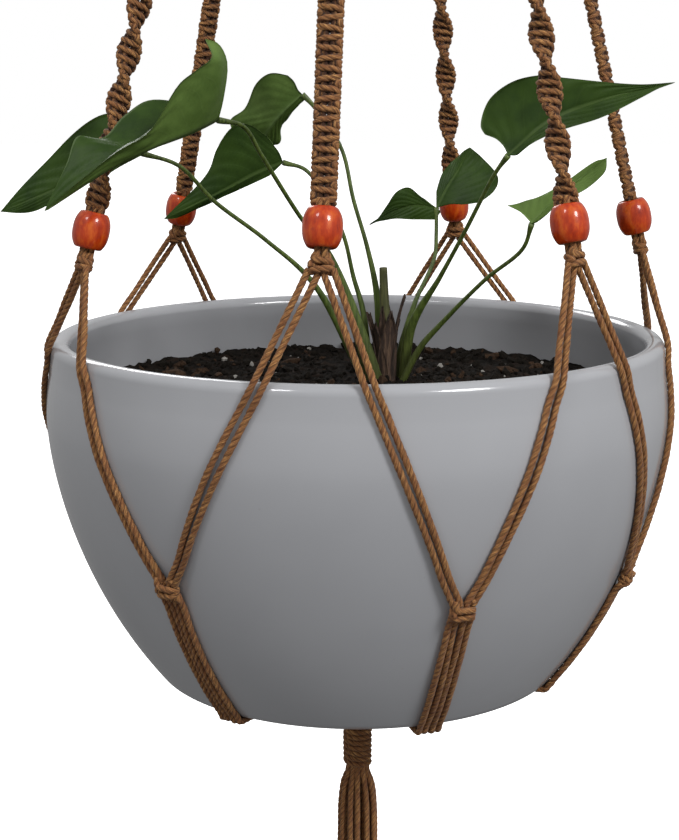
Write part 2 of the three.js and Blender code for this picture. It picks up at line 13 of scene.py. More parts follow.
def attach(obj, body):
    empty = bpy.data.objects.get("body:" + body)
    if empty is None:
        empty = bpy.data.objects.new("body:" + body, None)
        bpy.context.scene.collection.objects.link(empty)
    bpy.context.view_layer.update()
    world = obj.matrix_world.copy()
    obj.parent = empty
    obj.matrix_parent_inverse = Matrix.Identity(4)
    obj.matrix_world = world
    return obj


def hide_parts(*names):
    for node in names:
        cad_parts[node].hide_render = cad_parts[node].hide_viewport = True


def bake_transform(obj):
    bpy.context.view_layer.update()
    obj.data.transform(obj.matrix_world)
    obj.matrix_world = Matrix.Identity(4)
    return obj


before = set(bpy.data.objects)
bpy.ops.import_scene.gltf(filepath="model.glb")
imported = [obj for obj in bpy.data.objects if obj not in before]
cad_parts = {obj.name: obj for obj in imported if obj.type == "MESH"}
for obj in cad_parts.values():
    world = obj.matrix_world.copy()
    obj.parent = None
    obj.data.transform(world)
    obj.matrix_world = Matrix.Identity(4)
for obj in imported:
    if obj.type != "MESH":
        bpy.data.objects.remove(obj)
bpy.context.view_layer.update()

MM = 0.001
RANDOM_SEED = 7
rng = random.Random(RANDOM_SEED)

# ---------- dimensions shared with the CAD ----------

CORD = 3.0
CORD_R = CORD / 2
RIM_Z = -655.0
APEX = (6.0, 0.0, -75.0)  # where the arms' lines meet

RING_BORE_R = 25.0
RING_TUBE_R = 3.5
TOP_WRAP_R = 10.0
TOP_WRAP_Z = (-65.0, -96.4)
ARM_TOP_Z = -100.3
ARM_TOP_R = 5.7
ARM_TOP_AZIMUTH = -68.0
ARM_TOP_SWING = 14.0  # degrees that an arm's strands lie to each side of its azimuth
ARM_TOP_DEPTH = 1.1

SINNET_TOP_Z = -175.0
BEAD_CIRCLE_R = 132.5
BEAD_R = 8.2
BEAD_HALF = 8.2
BEAD_BORE_R = 3.9
BEAD_GAP = 0.4
KNOT_TOP = 10.8
KNOT_HEIGHT = 7.6

Arm = namedtuple("Arm", "name azimuth height drop turn face")

# height is the bead's centre above the rim plane, and drop is how far below that plane the diamond
# knot before the arm lies. A spiral arm turns once round in the length turn, and faces the front at
# the distance face above its bead. A square-knot arm has no turn, and its band is turned by face
# degrees about the arm's line.
ARMS = [
    Arm("front_left", -63.0, 54.0, 75.0, 43.0, 16.0),
    Arm("front", -6.0, 61.0, 93.0, 0.0, 0.0),
    Arm("front_right", 42.0, 60.0, 97.0, 46.0, 9.5),
    Arm("back_right", 88.5, 56.0, 106.0, 0.0, 22.0),
    Arm("back", 156.0, 53.0, 80.0, 48.0, 24.0),
    Arm("back_left", 226.0, 53.0, 76.0, 0.0, 0.0),
]

PAIR_END = 0.929  # share of the way from rim to diamond knot where a pair ends
PAIR_INSET = 1.2  # degrees that a pair ends short of the knot's middle
PAIR_HALF_GAP = 2.9  # a pair's middle off the middle of the knot that it leaves or enters
STRAND_CLEARANCE = 0.7
RIM_SPREAD = 0.345  # share of the gap to the diamond knot that a pair has crossed at the rim
RIM_TOUCH = 18.0  # angle on the lip's round where a pair touches it
DIAMOND_THICKNESS = 6.6
DIAMOND_HEIGHT = 9.0

BELLY_R = 151.0
BELLY_Z = -37.0
BELLY_DEPTH = 187.0
CURVE_DOWN = 1.7
CURVE_ROUND = 1.9
WALL = 8.0
LIP_CENTRE_R = 143.4
LIP_R = 4.6
FOOT_Z = -166.0
SOIL_Z = -29.0

BASE_AZIMUTH = -98.0
BASE_WRAP_Z = (-183.6, -229.0)
BASE_WRAP_R = 7.6
TASSEL_END_Z = -409.0

CROWN = (14.0, 20.0)

# Heights in metres where cords pass from one body to the next.
ARMS_BEND = (-0.0965, -0.135)
BASE_BEND = (-0.8350, -0.8410)
TASSEL_BEND = (-0.8845, -0.910)

# ---------- cord construction ----------

LAY = 10.5  # length of one turn of the plies
PLIES = 3
POINTS_PER_PLY = 4
GROOVE = 0.83  # radius in the groove between plies, as a share of the cord's
HALF_KNOT = 4.05  # length of one half knot along an arm
SINNET_HALF_WIDTH = 4.2
SINNET_HALF_DEPTH = 1.2
SINNET_CORD_R = 1.5
FILLER_R = 1.62
FILLER_X = 1.5
STRAND_STEP = 0.55
KNOT_STEP = 0.7
WOUND = 1.03  # a wound cord is pressed a little wider

# ---------- camera ----------

CAMERA_TARGET = (0.0, 0.0, -0.715)
CAMERA_DISTANCE = 0.760
CAMERA_PITCH = 0.226328
CAMERA_LENS = 65.336
CAMERA_SENSOR = 36.0
CAMERA_SHIFT = (-0.02143, 0.0364)


def make_camera():
    data = bpy.data.cameras.new("camera")
    data.lens = CAMERA_LENS
    data.sensor_width = CAMERA_SENSOR
    data.shift_x, data.shift_y = CAMERA_SHIFT
    camera = bpy.data.objects.new("camera", data)
    bpy.context.scene.collection.objects.link(camera)
    camera.location = (
        CAMERA_TARGET[0],
        CAMERA_TARGET[1] - CAMERA_DISTANCE * math.cos(CAMERA_PITCH),
        CAMERA_TARGET[2] + CAMERA_DISTANCE * math.sin(CAMERA_PITCH),
    )
    camera.rotation_euler = (math.pi / 2 - CAMERA_PITCH, 0, 0)
    bpy.context.scene.camera = camera


# ---------- vectors and curves ----------


def unit(v):
    return v / np.linalg.norm(v, axis=-1, keepdims=True)


def vec(x, y, z):
    return np.array([x, y, z], float)


def polar(radius, azimuth, z):
    a = np.radians(azimuth)
    return np.stack(np.broadcast_arrays(radius * np.sin(a), -radius * np.cos(a), z), -1).astype(float)


def radial(azimuth):
    return polar(1, azimuth, 0.0)


def turn_about(radius, angles, z):
    """Points at each of the angles round +Z, from the front, at a radius and a height."""
    return np.stack([radius * np.sin(angles), -radius * np.cos(angles), z], -1)


def circle_angles(count):
    return np.linspace(0, 2 * np.pi, count, endpoint=False)


def lerp(a, b, t):
    return a + (b - a) * t


def smooth(edge0, edge1, x):
    t = np.clip((x - edge0) / (edge1 - edge0), 0, 1)
    return t * t * (3 - 2 * t)


def curve_at(points, t):
    """Points of the centripetal Catmull-Rom curve through the given ones, t from 0 to 1."""
    p = np.asarray(points, float)
    p = np.vstack([2 * p[0] - p[1], p, 2 * p[-1] - p[-2]])
    knots = np.concatenate([[0], np.cumsum(np.linalg.norm(np.diff(p, axis=0), axis=1) ** 0.5)])
    t = np.clip(np.atleast_1d(t), 0, 1) * (len(p) - 3)
    i = np.minimum(t.astype(int), len(p) - 4)
    x = knots[i + 1] + (t - i) * (knots[i + 2] - knots[i + 1])

    def mix(a, b, first, second):
        w = ((x - knots[i + a]) / (knots[i + b] - knots[i + a]))[:, None]
        return first * (1 - w) + second * w

    a1 = mix(0, 1, p[i], p[i + 1])
    a2 = mix(1, 2, p[i + 1], p[i + 2])
    a3 = mix(2, 3, p[i + 2], p[i + 3])
    return mix(1, 2, mix(0, 2, a1, a2), mix(1, 3, a2, a3))


def along(path):
    """Length from the start of a path to each of its points."""
    return np.concatenate([[0], np.cumsum(np.linalg.norm(np.diff(path, axis=0), axis=1))])


def even_path(points, step):
    """The curve through the points, in even steps."""
    dense = curve_at(points, np.linspace(0, 1, 10 * len(points) + 1))
    length = along(dense)
    count = max(3, int(round(length[-1] / step)) + 1)
    at = np.linspace(0, length[-1], count)
    return np.stack([np.interp(at, length, dense[:, k]) for k in range(3)], 1)


def transported_normals(tangents):
    """A normal at each tangent that turns as little as it can along the path."""
    axis = vec(1, 0, 0) if abs(tangents[0][0]) < 0.7 else vec(0, 1, 0)
    normal = np.cross(tangents[0], axis)
    normals = np.empty_like(tangents)
    for k, tangent in enumerate(tangents):
        normal = normal - tangent * normal.dot(tangent)
        normal = normal / math.sqrt(normal.dot(normal))
        normals[k] = normal
    return normals


# ---------- meshes ----------


def make_object(name, points, faces, material, smooth_shading=True, floats=None, vectors=None):
    """A mesh object from millimetre points, with per-point attributes."""
    mesh = bpy.data.meshes.new(name)
    mesh.from_pydata(np.asarray(points, float) * MM, [], faces)
    for key, values in (floats or {}).items():
        attribute = mesh.attributes.new(key, "FLOAT", "POINT")
        attribute.data.foreach_set("value", np.asarray(values, np.float32))
    for key, values in (vectors or {}).items():
        attribute = mesh.attributes.new(key, "FLOAT_VECTOR", "POINT")
        attribute.data.foreach_set("vector", np.asarray(values, np.float32).ravel())
    mesh.polygons.foreach_set("use_smooth", [smooth_shading] * len(mesh.polygons))
    mesh.materials.append(material)
    mesh.update()
    obj = bpy.data.objects.new(name, mesh)
    bpy.context.scene.collection.objects.link(obj)
    return obj


def grid_faces(rows, columns, wrap=False):
    """Quads over rows x columns points; wrap joins the last column to the first."""
    span = columns if wrap else columns - 1
    i, j = np.meshgrid(np.arange(rows - 1), np.arange(span), indexing="ij")
    a = i * columns + j
    b = i * columns + (j + 1) % columns
    return np.stack([a, b, b + columns, a + columns], -1).reshape(-1, 4).tolist()


def end_faces(points, sides):
    """The first and the last row of a wrapped grid, as its two closing faces."""
    return [list(range(sides))[::-1], list(range(len(points) - sides, len(points)))]


def shifted(faces, offset):
    return [[i + offset for i in face] for face in faces]


def round_axes(path):
    """Two axes square to the path and to each other, at each of its points."""
    tangents = unit(np.gradient(path, axis=0))
    normals = transported_normals(tangents)
    return normals[:, None, :], np.cross(tangents, normals)[:, None, :]


def register(piece, body, slot, *nodes):
    """The piece rides on a body and stands for CAD nodes, which it hides; slot is not used."""
    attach(piece, body)
    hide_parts(*nodes)


def register_bent(piece, above, below, heights, *nodes):
    """For cords that run from one body to the next: bakes the placement into the mesh and hides the CAD nodes
    that it stands for; above, below and heights are not used.
    """
    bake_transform(piece)
    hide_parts(*nodes)


def ply_section():
    """Angles and radius shares round one twisted cord, and how near each point is to a crest."""
    count = PLIES * POINTS_PER_PLY
    angle = 2 * np.pi * np.arange(count) / count
    crest = np.abs(np.cos(angle * PLIES / 2)) ** 0.6
    return angle, GROOVE + (1 - GROOVE) * crest, crest


def twisted_cord(path, radius, phase, outward):
    """Points, faces and attributes of a three-ply cord that follows the path.

    outward is the way that each part of it looks, where it is pressed in a knot; parts that look away from it
    get painted shade in the cord material.
    """
    angle, share, crest = ply_section()
    sides = len(angle)
    normals, binormals = round_axes(path)
    length = along(path)
    # the lay and the thickness wander a little, in waves that don't fall together
    uneven = 0.5 * np.sin(length / 17 + phase) + 0.3 * np.sin(length / 7.3 + 2 * phase)
    turned = (angle + (2 * np.pi * length / LAY + phase + uneven)[:, None])[..., None]
    spokes = np.cos(turned) * normals + np.sin(turned) * binormals
    swell = 1 + 0.03 * np.sin(length / 2.9 + 3 * phase)
    reach = radius * swell[:, None, None] * share[None, :, None]
    points = (path[:, None, :] + reach * spokes).reshape(-1, 3)
    # a cord outside a knot looks out all round and gets no painted crevice shade
    if outward is None:
        openness_for_painted_shade = np.ones(len(points))
    else:
        openness_for_painted_shade = (spokes * outward[:, None, :]).sum(-1).ravel()
    faces = grid_faces(len(path), sides, wrap=True) + end_faces(points, sides)
    straight = np.empty((len(path), sides, 3))
    straight[..., 0] = CORD_R * np.cos(angle)
    straight[..., 1] = CORD_R * np.sin(angle)
    straight[..., 2] = (length + 40 * phase)[:, None]  # each cord has fibres of its own
    return points, faces, np.tile(crest, len(path)), openness_for_painted_shade, straight.reshape(-1, 3)


def cord_object(name, cords):
    """One object of several twisted cords, each (path, radius) or (path, radius, outward)."""
    points, faces, crest, openness_for_painted_shade, straight = [], [], [], [], []
    offset = 0
    for path, radius, *outward in cords:
        parts = twisted_cord(path, radius, rng.uniform(0, 2 * math.pi), outward[0] if outward else None)
        faces += shifted(parts[1], offset)
        offset += len(parts[0])
        points.append(parts[0])
        crest.append(parts[2])
        openness_for_painted_shade.append(parts[3])
        straight.append(parts[4])
    return make_object(
        name,
        np.concatenate(points),
        faces,
        CORD_MATERIAL,
        floats={"crest": np.concatenate(crest), "openness_for_painted_shade": np.concatenate(openness_for_painted_shade)},
        vectors={"straight": np.concatenate(straight)},
    )


# ---------- materials ----------


class Shader:
    """A Principled material with short calls for adding and joining nodes."""

    def __init__(self, name):
        self.material = bpy.data.materials.new(name)
        self.material.use_nodes = True
        self.tree = self.material.node_tree
        self.main = self.tree.nodes["Principled BSDF"]

    def add(self, kind, inputs=None, **settings):
        node = self.tree.nodes.new("ShaderNode" + kind)
        for key, value in settings.items():
            setattr(node, key, value)
        for key, value in (inputs or {}).items():
            self.put(node.inputs[key], value)
        return node

    def put(self, socket, value):
        if isinstance(value, bpy.types.NodeSocket):
            self.tree.links.new(value, socket)
        else:
            socket.default_value = value

    def set(self, **values):
        for key, value in values.items():
            self.put(self.main.inputs[key.replace("_", " ")], value)

    def scaled(self, vector, scale):
        return self.add("Mapping", {"Vector": vector, "Scale": scale}).outputs["Vector"]

    def streaks(self, vector, scale, detail=3.0, roughness=0.55):
        """Noise drawn out along the axes with the smaller scales."""
        return self.noise(self.scaled(vector, scale), 1.0, detail, roughness)

    def noise(self, vector, scale, detail=3.0, roughness=0.55):
        inputs = {"Vector": vector, "Scale": scale, "Detail": detail, "Roughness": roughness}
        return self.add("TexNoise", inputs).outputs["Fac"]

    def ramp(self, fac, stops):
        node = self.add("ValToRGB", {"Fac": fac})
        elements = node.color_ramp.elements
        while len(elements) < len(stops):
            elements.new(0.5)
        for element, (position, colour) in zip(elements, stops):
            element.position = position
            element.color = (*colour, 1)
        return node.outputs["Color"]

    def mix(self, fac, a, b):
        node = self.add("Mix", {"Factor": fac}, data_type="RGBA")
        colours = [socket for socket in node.inputs if socket.type == "RGBA"]
        for socket, value in zip(colours, (a, b)):
            self.put(socket, (*value, 1) if isinstance(value, tuple) else value)
        return [socket for socket in node.outputs if socket.type == "RGBA"][0]

    def math(self, operation, a, b=None):
        node = self.add("Math", operation=operation)
        self.put(node.inputs[0], a)
        if b is not None:
            self.put(node.inputs[1], b)
        return node.outputs[0]

    def remap(self, value, low, high, to_low=0.0, to_high=1.0):
        inputs = {"Value": value, "From Min": low, "From Max": high, "To Min": to_low, "To Max": to_high}
        return self.add("MapRange", inputs, interpolation_type="SMOOTHSTEP").outputs["Result"]

    def bump(self, height, distance, strength=1.0):
        inputs = {"Height": height, "Distance": distance, "Strength": strength}
        return self.add("Bump", inputs).outputs["Normal"]

    def attribute(self, name, output="Vector"):
        return self.add("Attribute", attribute_name=name).outputs[output]

    def place(self):
        return self.add("TexCoord").outputs["Object"]


def cord_material():
    """Waxy twisted cord: fibres run along the plies, and the dye varies; shade is painted into the grooves
    between plies and on the parts of cords that look into a knot.
    """
    s = Shader("cord")
    straight = s.attribute("straight")
    crest = s.attribute("crest", "Fac")
    fibres = s.streaks(straight, (2.2, 2.2, 0.35), 4.0, 0.65)
    patches = s.streaks(straight, (0.1, 0.1, 0.06), 2.0)
    strand = s.ramp(
        fibres, [(0.34, (0.10, 0.036, 0.013)), (0.5, (0.33, 0.145, 0.048)), (0.66, (0.68, 0.37, 0.13))]
    )
    dyed = s.mix(s.remap(patches, 0.35, 0.65, 0.0, 0.5), strand, (0.21, 0.072, 0.030))
    # painted shade: the grooves between the plies are darkened, the more the farther a point lies from a
    # crest
    painted_groove_shade = s.remap(crest, 0.0, 0.75, 0.62, 0.0)
    # painted shade: parts of a cord that look into a knot, away from its outside, are darkened towards the
    # same dark brown
    painted_crevice_shade = s.remap(s.attribute("openness_for_painted_shade", "Fac"), -0.1, 0.9, 0.95, 0.0)
    s.set(Base_Color=s.mix(s.math("MAXIMUM", painted_groove_shade, painted_crevice_shade), dyed, (0.035, 0.012, 0.006)))
    s.set(Roughness=0.72, Specular_IOR_Level=0.25, Sheen_Weight=0.1, Sheen_Roughness=0.5)
    s.set(Normal=s.bump(fibres, 0.5 * MM, 1.0))
    return s.material


def lacquer_material():
    """Glossy orange-red lacquer over wood, with streaks and small worn spots."""
    s = Shader("bead_lacquer")
    place = s.place()
    streaks = s.streaks(place, (330.0, 330.0, 110.0), 4.0, 0.6)
    blots = s.noise(place, 260.0, 2.0)
    base = s.ramp(
        streaks, [(0.3, (0.33, 0.022, 0.003)), (0.5, (0.51, 0.047, 0.005)), (0.72, (0.68, 0.125, 0.012))]
    )
    s.set(Base_Color=s.mix(s.remap(blots, 0.62, 0.8, 0.0, 0.6), base, (0.30, 0.03, 0.01)))
    s.set(Roughness=0.35, Specular_IOR_Level=0.2, Coat_Weight=0.55, Coat_Roughness=0.06)
    s.set(Normal=s.bump(streaks, 0.1 * MM, 0.25))
    return s.material


def glaze_material():
    """Pale glossy glaze, a little uneven in thickness, with a few fine specks."""
    s = Shader("glaze")
    place = s.place()
    cloud = s.noise(place, 9.0, 3.0)
    specks = s.noise(place, 420.0, 1.0)
    tone = s.ramp(cloud, [(0.3, (0.375, 0.38, 0.40)), (0.7, (0.415, 0.42, 0.44))])
    s.set(Base_Color=s.mix(s.remap(specks, 0.78, 0.82, 0.0, 0.25), tone, (0.3, 0.28, 0.26)))
    s.set(Roughness=s.remap(cloud, 0.3, 0.7, 0.13, 0.2), Coat_Weight=0.3, Coat_Roughness=0.06)
    s.set(Normal=s.bump(s.noise(place, 28.0, 2.0), 0.5 * MM, 0.2))
    return s.material


def soil_material():
    """Moist dark potting mix."""
    s = Shader("soil")
    place = s.place()
    grains = s.noise(place, 700.0, 5.0, 0.7)
    lumps = s.noise(place, 120.0, 3.0)
    tone = s.ramp(
        grains, [(0.3, (0.003, 0.0028, 0.0024)), (0.6, (0.012, 0.010, 0.008)), (0.85, (0.04, 0.032, 0.025))]
    )
    s.set(Base_Color=s.mix(s.remap(lumps, 0.4, 0.7, 0.0, 0.5), tone, (0.035, 0.02, 0.013)))
    s.set(Roughness=0.9, Specular_IOR_Level=0.1, Normal=s.bump(grains, 1.5 * MM, 1.0))
    return s.material


def crumb_material(name, dark, pale):
    """Rough grainy lumps, between a dark and a pale tone."""
    s = Shader(name)
    grains = s.noise(s.place(), 900.0, 4.0, 0.7)
    s.set(Base_Color=s.ramp(grains, [(0.3, dark), (0.75, pale)]), Roughness=0.9, Specular_IOR_Level=0.1)
    s.set(Normal=s.bump(grains, 0.8 * MM, 0.8))
    return s.material


def leaf_material(name, dark, light, vein, gloss):
    """A waxy leaf face: midrib and side veins are paler, and the green is mottled."""
    s = Shader(name)
    leaf = s.attribute("leaf")
    parts = s.add("SeparateXYZ", {"Vector": leaf})
    across = s.math("ABSOLUTE", parts.outputs["X"])
    length = parts.outputs["Y"]
    midrib = s.remap(across, 0.015, 0.07, 1.0, 0.0)
    slanted = s.math("SUBTRACT", s.math("MULTIPLY", length, 8.0), s.math("MULTIPLY", across, 3.2))
    stripes = s.math("PINGPONG", slanted, 0.5)
    side = s.remap(stripes, 0.0, 0.07, 1.0, 0.0)
    faded = s.math("MULTIPLY", side, s.remap(across, 0.55, 0.98, 0.14, 0.0))
    veins = s.math("MAXIMUM", midrib, faded)
    mottle = s.noise(s.place(), 45.0, 4.0, 0.6)
    fine = s.noise(s.place(), 900.0, 2.0)
    green = s.mix(s.remap(mottle, 0.3, 0.7), dark, light)
    margin = s.remap(across, 0.955, 0.99, 0.0, 0.5)
    s.set(Base_Color=s.mix(s.math("MAXIMUM", s.math("MULTIPLY", veins, 0.5), margin), green, vein))
    s.set(Roughness=gloss, Specular_IOR_Level=0.18)
    relief = s.math("SUBTRACT", s.math("MULTIPLY", fine, 0.15), veins)
    s.set(Normal=s.bump(relief, 0.3 * MM, 0.5))
    return s.material


def stalk_material():
    """Green stalks with fine ridges, browner towards the soil."""
    s = Shader("stalk")
    place = s.place()
    ridges = s.streaks(place, (900.0, 900.0, 60.0))
    height = s.add("SeparateXYZ", {"Vector": place}).outputs["Z"]
    green = s.mix(s.remap(ridges, 0.3, 0.7), (0.050, 0.080, 0.014), (0.125, 0.180, 0.034))
    foot = s.remap(height, (RIM_Z - 20) * MM, (RIM_Z + 15) * MM, 0.55, 0.0)
    s.set(Base_Color=s.mix(foot, green, (0.05, 0.045, 0.015)), Roughness=0.42)
    s.set(Normal=s.bump(ridges, 0.3 * MM, 0.6))
    return s.material


def stub_material():
    """The cut stub of an old stalk, in streaks of green and drying brown."""
    s = Shader("stub")
    ridges = s.streaks(s.place(), (700.0, 700.0, 90.0), 4.0)
    green = s.ramp(
        ridges, [(0.3, (0.025, 0.022, 0.008)), (0.55, (0.07, 0.075, 0.02)), (0.8, (0.15, 0.14, 0.05))]
    )
    s.set(Base_Color=green)
    s.set(Roughness=0.65, Normal=s.bump(ridges, 0.4 * MM, 0.8))
    return s.material


def sheath_material():
    """Dry papery sheaths with lengthwise fibres."""
    s = Shader("sheath")
    fibres = s.streaks(s.place(), (700.0, 700.0, 70.0), 5.0, 0.65)
    brown = s.ramp(
        fibres, [(0.3, (0.010, 0.006, 0.004)), (0.5, (0.050, 0.028, 0.018)), (0.74, (0.19, 0.115, 0.07))]
    )
    s.set(Base_Color=brown)
    s.set(Roughness=0.85, Normal=s.bump(fibres, 0.8 * MM, 1.0))
    return s.material


def steel_material():
    """Brushed steel, brushed round the ring."""
    s = Shader("ring_metal")
    brush = s.streaks(s.place(), (300.0, 3000.0, 300.0))
    s.set(Base_Color=(0.62, 0.62, 0.63, 1), Metallic=1.0)
    s.set(Roughness=s.remap(brush, 0.3, 0.7, 0.22, 0.38), Normal=s.bump(brush, 0.05 * MM, 0.4))
    return s.material


CORD_MATERIAL = cord_material()

# ---------- tassel: the 24 free cord ends ----------

# count of strands, radius below the wrap and radius in the wrap
TASSEL_RINGS = [(4, 2.2, 1.4), (8, 5.6, 3.2), (12, 9.3, 4.6)]
# heights from the rim plane, and the share of the flare reached at each of them and at the end
TASSEL_LEVELS = [-226.5, -231.0, -238.0, -248.0, -262.0, -290.0, -330.0, -370.0]
TASSEL_SHARES = [0.0, 0.08, 0.60, 0.88, 0.97, 1.0, 1.0, 0.98, 0.97]
TASSEL_SWAY_Z = -290.0  # below this level a strand drifts sideways


def tassel_path(azimuth, radius, top_radius, end_z):
    """One strand, from inside the wrap, out round the flare, and down."""
    sway = rng.uniform(-1.1, 1.1)
    turn = rng.uniform(-5, 5)
    points = []
    for z, share in zip(TASSEL_LEVELS + [end_z], TASSEL_SHARES):
        r = lerp(top_radius, radius, share)
        drift = sway * min(z - TASSEL_SWAY_Z, 0) / 40
        points.append(polar(r, azimuth + turn * share + drift, RIM_Z + z))
    return even_path(points, STRAND_STEP)


def make_tassel():
    """Three rings of strands, each one a free cord of its own."""
    index = 0
    for count, radius, top_radius in TASSEL_RINGS:
        for k in range(count):
            end_z = TASSEL_END_Z + 3 + rng.uniform(0, 7)
            path = tassel_path(360 * (k + rng.uniform(-0.1, 0.1)) / count, radius, top_radius, end_z)
            strand = cord_object(f"tassel_strand_{index:02d}", [(path, CORD_R)])
            register_bent(strand, "base_wrap", "tassel", TASSEL_BEND, "tassel")
            index += 1


make_camera()
make_tassel()

# ---------- ring, cord loops and the wrap under them ----------

RING_CENTRE_Z = -RING_BORE_R
RING_R = RING_BORE_R + RING_TUBE_R
LOOPS_HALF = 2.5 * CORD  # six doubled loops lie side by side


def make_ring():
    """The steel ring, as a grid of points round it and about its tube."""
    around, about = 120, 24
    a, b = np.meshgrid(circle_angles(around), circle_angles(about), indexing="ij")
    r = RING_R + RING_TUBE_R * np.cos(b)
    points = np.stack([r * np.cos(a), RING_TUBE_R * np.sin(b), RING_CENTRE_Z + r * np.sin(a)], -1)
    faces = grid_faces(around, about, wrap=True)
    last = (around - 1) * about
    faces += [[last + j, last + (j + 1) % about, (j + 1) % about, j] for j in range(about)]
    ring = make_object("ring_steel", points.reshape(-1, 3), faces, steel_material())
    register(ring, "ring", "ring_metal", "hanging_ring")


def loop_path(x, layer):
    """A cord doubled over the ring's foot, with both legs going into the wrap."""
    tube_z = RING_CENTRE_Z - math.sqrt(RING_R**2 - x**2)
    clearance = 0.2 + 0.6 * (x / LOOPS_HALF) ** 2  # the ring's foot curves up to each side
    r = RING_TUBE_R + clearance + CORD_R + layer * 0.93 * CORD
    inner = CORD_R + layer * 2.7
    squeeze = 0.72  # the legs are drawn together in the wrap
    wrap_top = TOP_WRAP_Z[0]
    legs = [vec(x * squeeze, -inner, wrap_top - depth) for depth in (5, 1)]
    front = legs + [vec(x * 0.92, -r * 0.9, wrap_top + 5)]
    arc = [vec(x, -r * math.cos(a), tube_z + r * math.sin(a)) for a in np.radians(range(0, 181, 30))]
    back = [p * vec(1, -1, 1) for p in front[::-1]]
    return even_path(front + arc + back, STRAND_STEP)


def helix(radius, top, bottom, phase=0.0):
    """A cord wound round the bundle from top to bottom, one turn under another."""
    turns = (top - bottom) / (CORD * 0.98)
    a = np.linspace(0, 2 * np.pi * turns, int(turns * 40))
    z = np.linspace(top, bottom, len(a))
    return turn_about(radius, a + phase, z)


def make_head():
    """The six doubled loops on the ring, and the cord wound round them."""
    rows = [(k - 2.5) * CORD for k in range(6)]
    loops = [(loop_path(x, layer), CORD_R) for x in rows for layer in (0, 1)]
    register(cord_object("ring_loop_cords", loops), "head", "cord", "ring_loops")
    top, bottom = TOP_WRAP_Z
    path = helix(TOP_WRAP_R - CORD_R, top - CORD_R, bottom + CORD_R)
    register(cord_object("top_wrap_cord", [(path, CORD_R * WOUND)]), "head", "cord", "top_wrap")


# ---------- arms ----------


class ArmLine:
    """An arm's straight line from the apex through its bead: right, out and down are its axes."""

    def __init__(self, arm):
        self.bead = polar(BEAD_CIRCLE_R, arm.azimuth, RIM_Z + arm.height)
        self.down = unit(self.bead - vec(*APEX))
        self.face(radial(arm.azimuth))

    def face(self, way):
        """Turns the axes so that out looks as nearly as it can along a level way."""
        self.out = unit(way - self.down * self.down.dot(way))
        self.right = np.cross(self.out, self.down)

    def at(self, local):
        """Row-frame points of (right, out, down) ones, measured from the bead's centre."""
        local = np.asarray(local, float)
        return self.bead + local @ np.stack([self.right, self.out, self.down])


def square_knot_cords(count, width, depth, pitch):
    """The two working cords of alternating half knots: one stays in front and one behind.

    Places in one half knot are shares of the half width, the half depth and the pitch.
    """
    front, back = [], []
    for n in range(count):
        s = 1 if n % 2 else -1
        w = (n + 0.5) * pitch
        bar = [(0.72 * s, 0.85, -0.1), (0, 1, -0.01), (-0.72 * s, 0.88, 0.08)]
        loop = [(-1.0 * s, -0.1, 0.29), (-0.84 * s, -1.0, 0.5), (-1.0 * s, -0.1, 0.71)]
        if n + 1 == count:
            loop = loop[:1]
        for a, b, c in bar + loop:
            front.append((a * width, b * depth, w + c * pitch))
            back.append((-a * width, -b * depth, w + c * pitch))
    return [np.array(front), np.array(back)]


# One half knot of a spiral's cord, as shares of the half width, the half depth and the pitch.
SPIRAL_PATH = [
    (-0.6, 0.92, -0.14), (0, 1, 0), (0.6, 0.86, 0.14),
    (1.0, 0.1, 0.36), (0.93, 0.62, 0.6), (1.02, -0.15, 0.82),
]


def spiral_knot_cords(count, width, depth, pitch):
    """The two working cords of half knots that are all tied the same way."""
    cords = []
    for first in (0, 1):
        points = []
        for n in range(count):
            side = 1 if (n + first) % 2 == 0 else -1
            for a, b, c in SPIRAL_PATH:
                points.append((side * a * width, side * b * depth, (n + 0.5 + c) * pitch))
        cords.append(np.array(points))
    return cords


def outward_of(local):
    """How far each point of a band's cord looks out of the band: near 1 at its sides and faces; the cord
    material paints shade where a cord looks away from this way.
    """
    share = local[:, :2] / (SINNET_HALF_WIDTH, SINNET_HALF_DEPTH)
    return np.hstack([share, 0 * local[:, 2:]]) / np.maximum(np.abs(share).max(1), 0.3)[:, None]


def rotated(local, angle):
    """Local points turned about the arm's line, by one angle or by one for each point."""
    u = local[:, 0] * np.cos(angle) - local[:, 1] * np.sin(angle)
    v = local[:, 0] * np.sin(angle) + local[:, 1] * np.cos(angle)
    return np.stack([u, v, local[:, 2]], 1)


def sinnet_cords(line, arm):
    """Local paths, radii and outward ways of the four cords of one knotted arm."""
    bottom = -BEAD_HALF - BEAD_GAP
    top = (SINNET_TOP_Z - line.bead[2]) / line.down[2]
    count = int((bottom - top) / HALF_KNOT)
    start = bottom - count * HALF_KNOT
    tie = spiral_knot_cords if arm.turn else square_knot_cords
    workers = tie(count, SINNET_HALF_WIDTH, SINNET_HALF_DEPTH, HALF_KNOT)
    levels = np.arange(0, count * HALF_KNOT + 0.1, HALF_KNOT)
    fillers = [np.stack([x + 0 * levels, 0 * levels, levels], 1) for x in (-FILLER_X, FILLER_X)]
    cords = []
    for local, radius in zip(workers + fillers, (SINNET_CORD_R, SINNET_CORD_R, FILLER_R, FILLER_R)):
        path = even_path(local + vec(0, 0, start), KNOT_STEP)
        angle = math.radians(arm.face)
        if arm.turn:
            angle = -2 * np.pi * (path[:, 2] + arm.face) / arm.turn
        cords.append((rotated(path, angle), radius, unit(rotated(outward_of(path), angle))))
    return cords


def make_arm(arm, index):
    """One knotted arm; gives back the plain strands over it, which are joined later."""
    line = ArmLine(arm)
    if arm.turn:
        line.face(vec(0, -1, 0))
    axes = np.stack([line.right, line.out, line.down])
    cords = sinnet_cords(line, arm)
    piece = cord_object(f"arm_cords_{arm.name}", [(line.at(local), r, out @ axes) for local, r, out in cords])
    register(piece, "cradle", "cord", f"arm_{arm.name}")
    return upper_strands(line, [line.at(local)[0] for local, _, _ in cords], index)


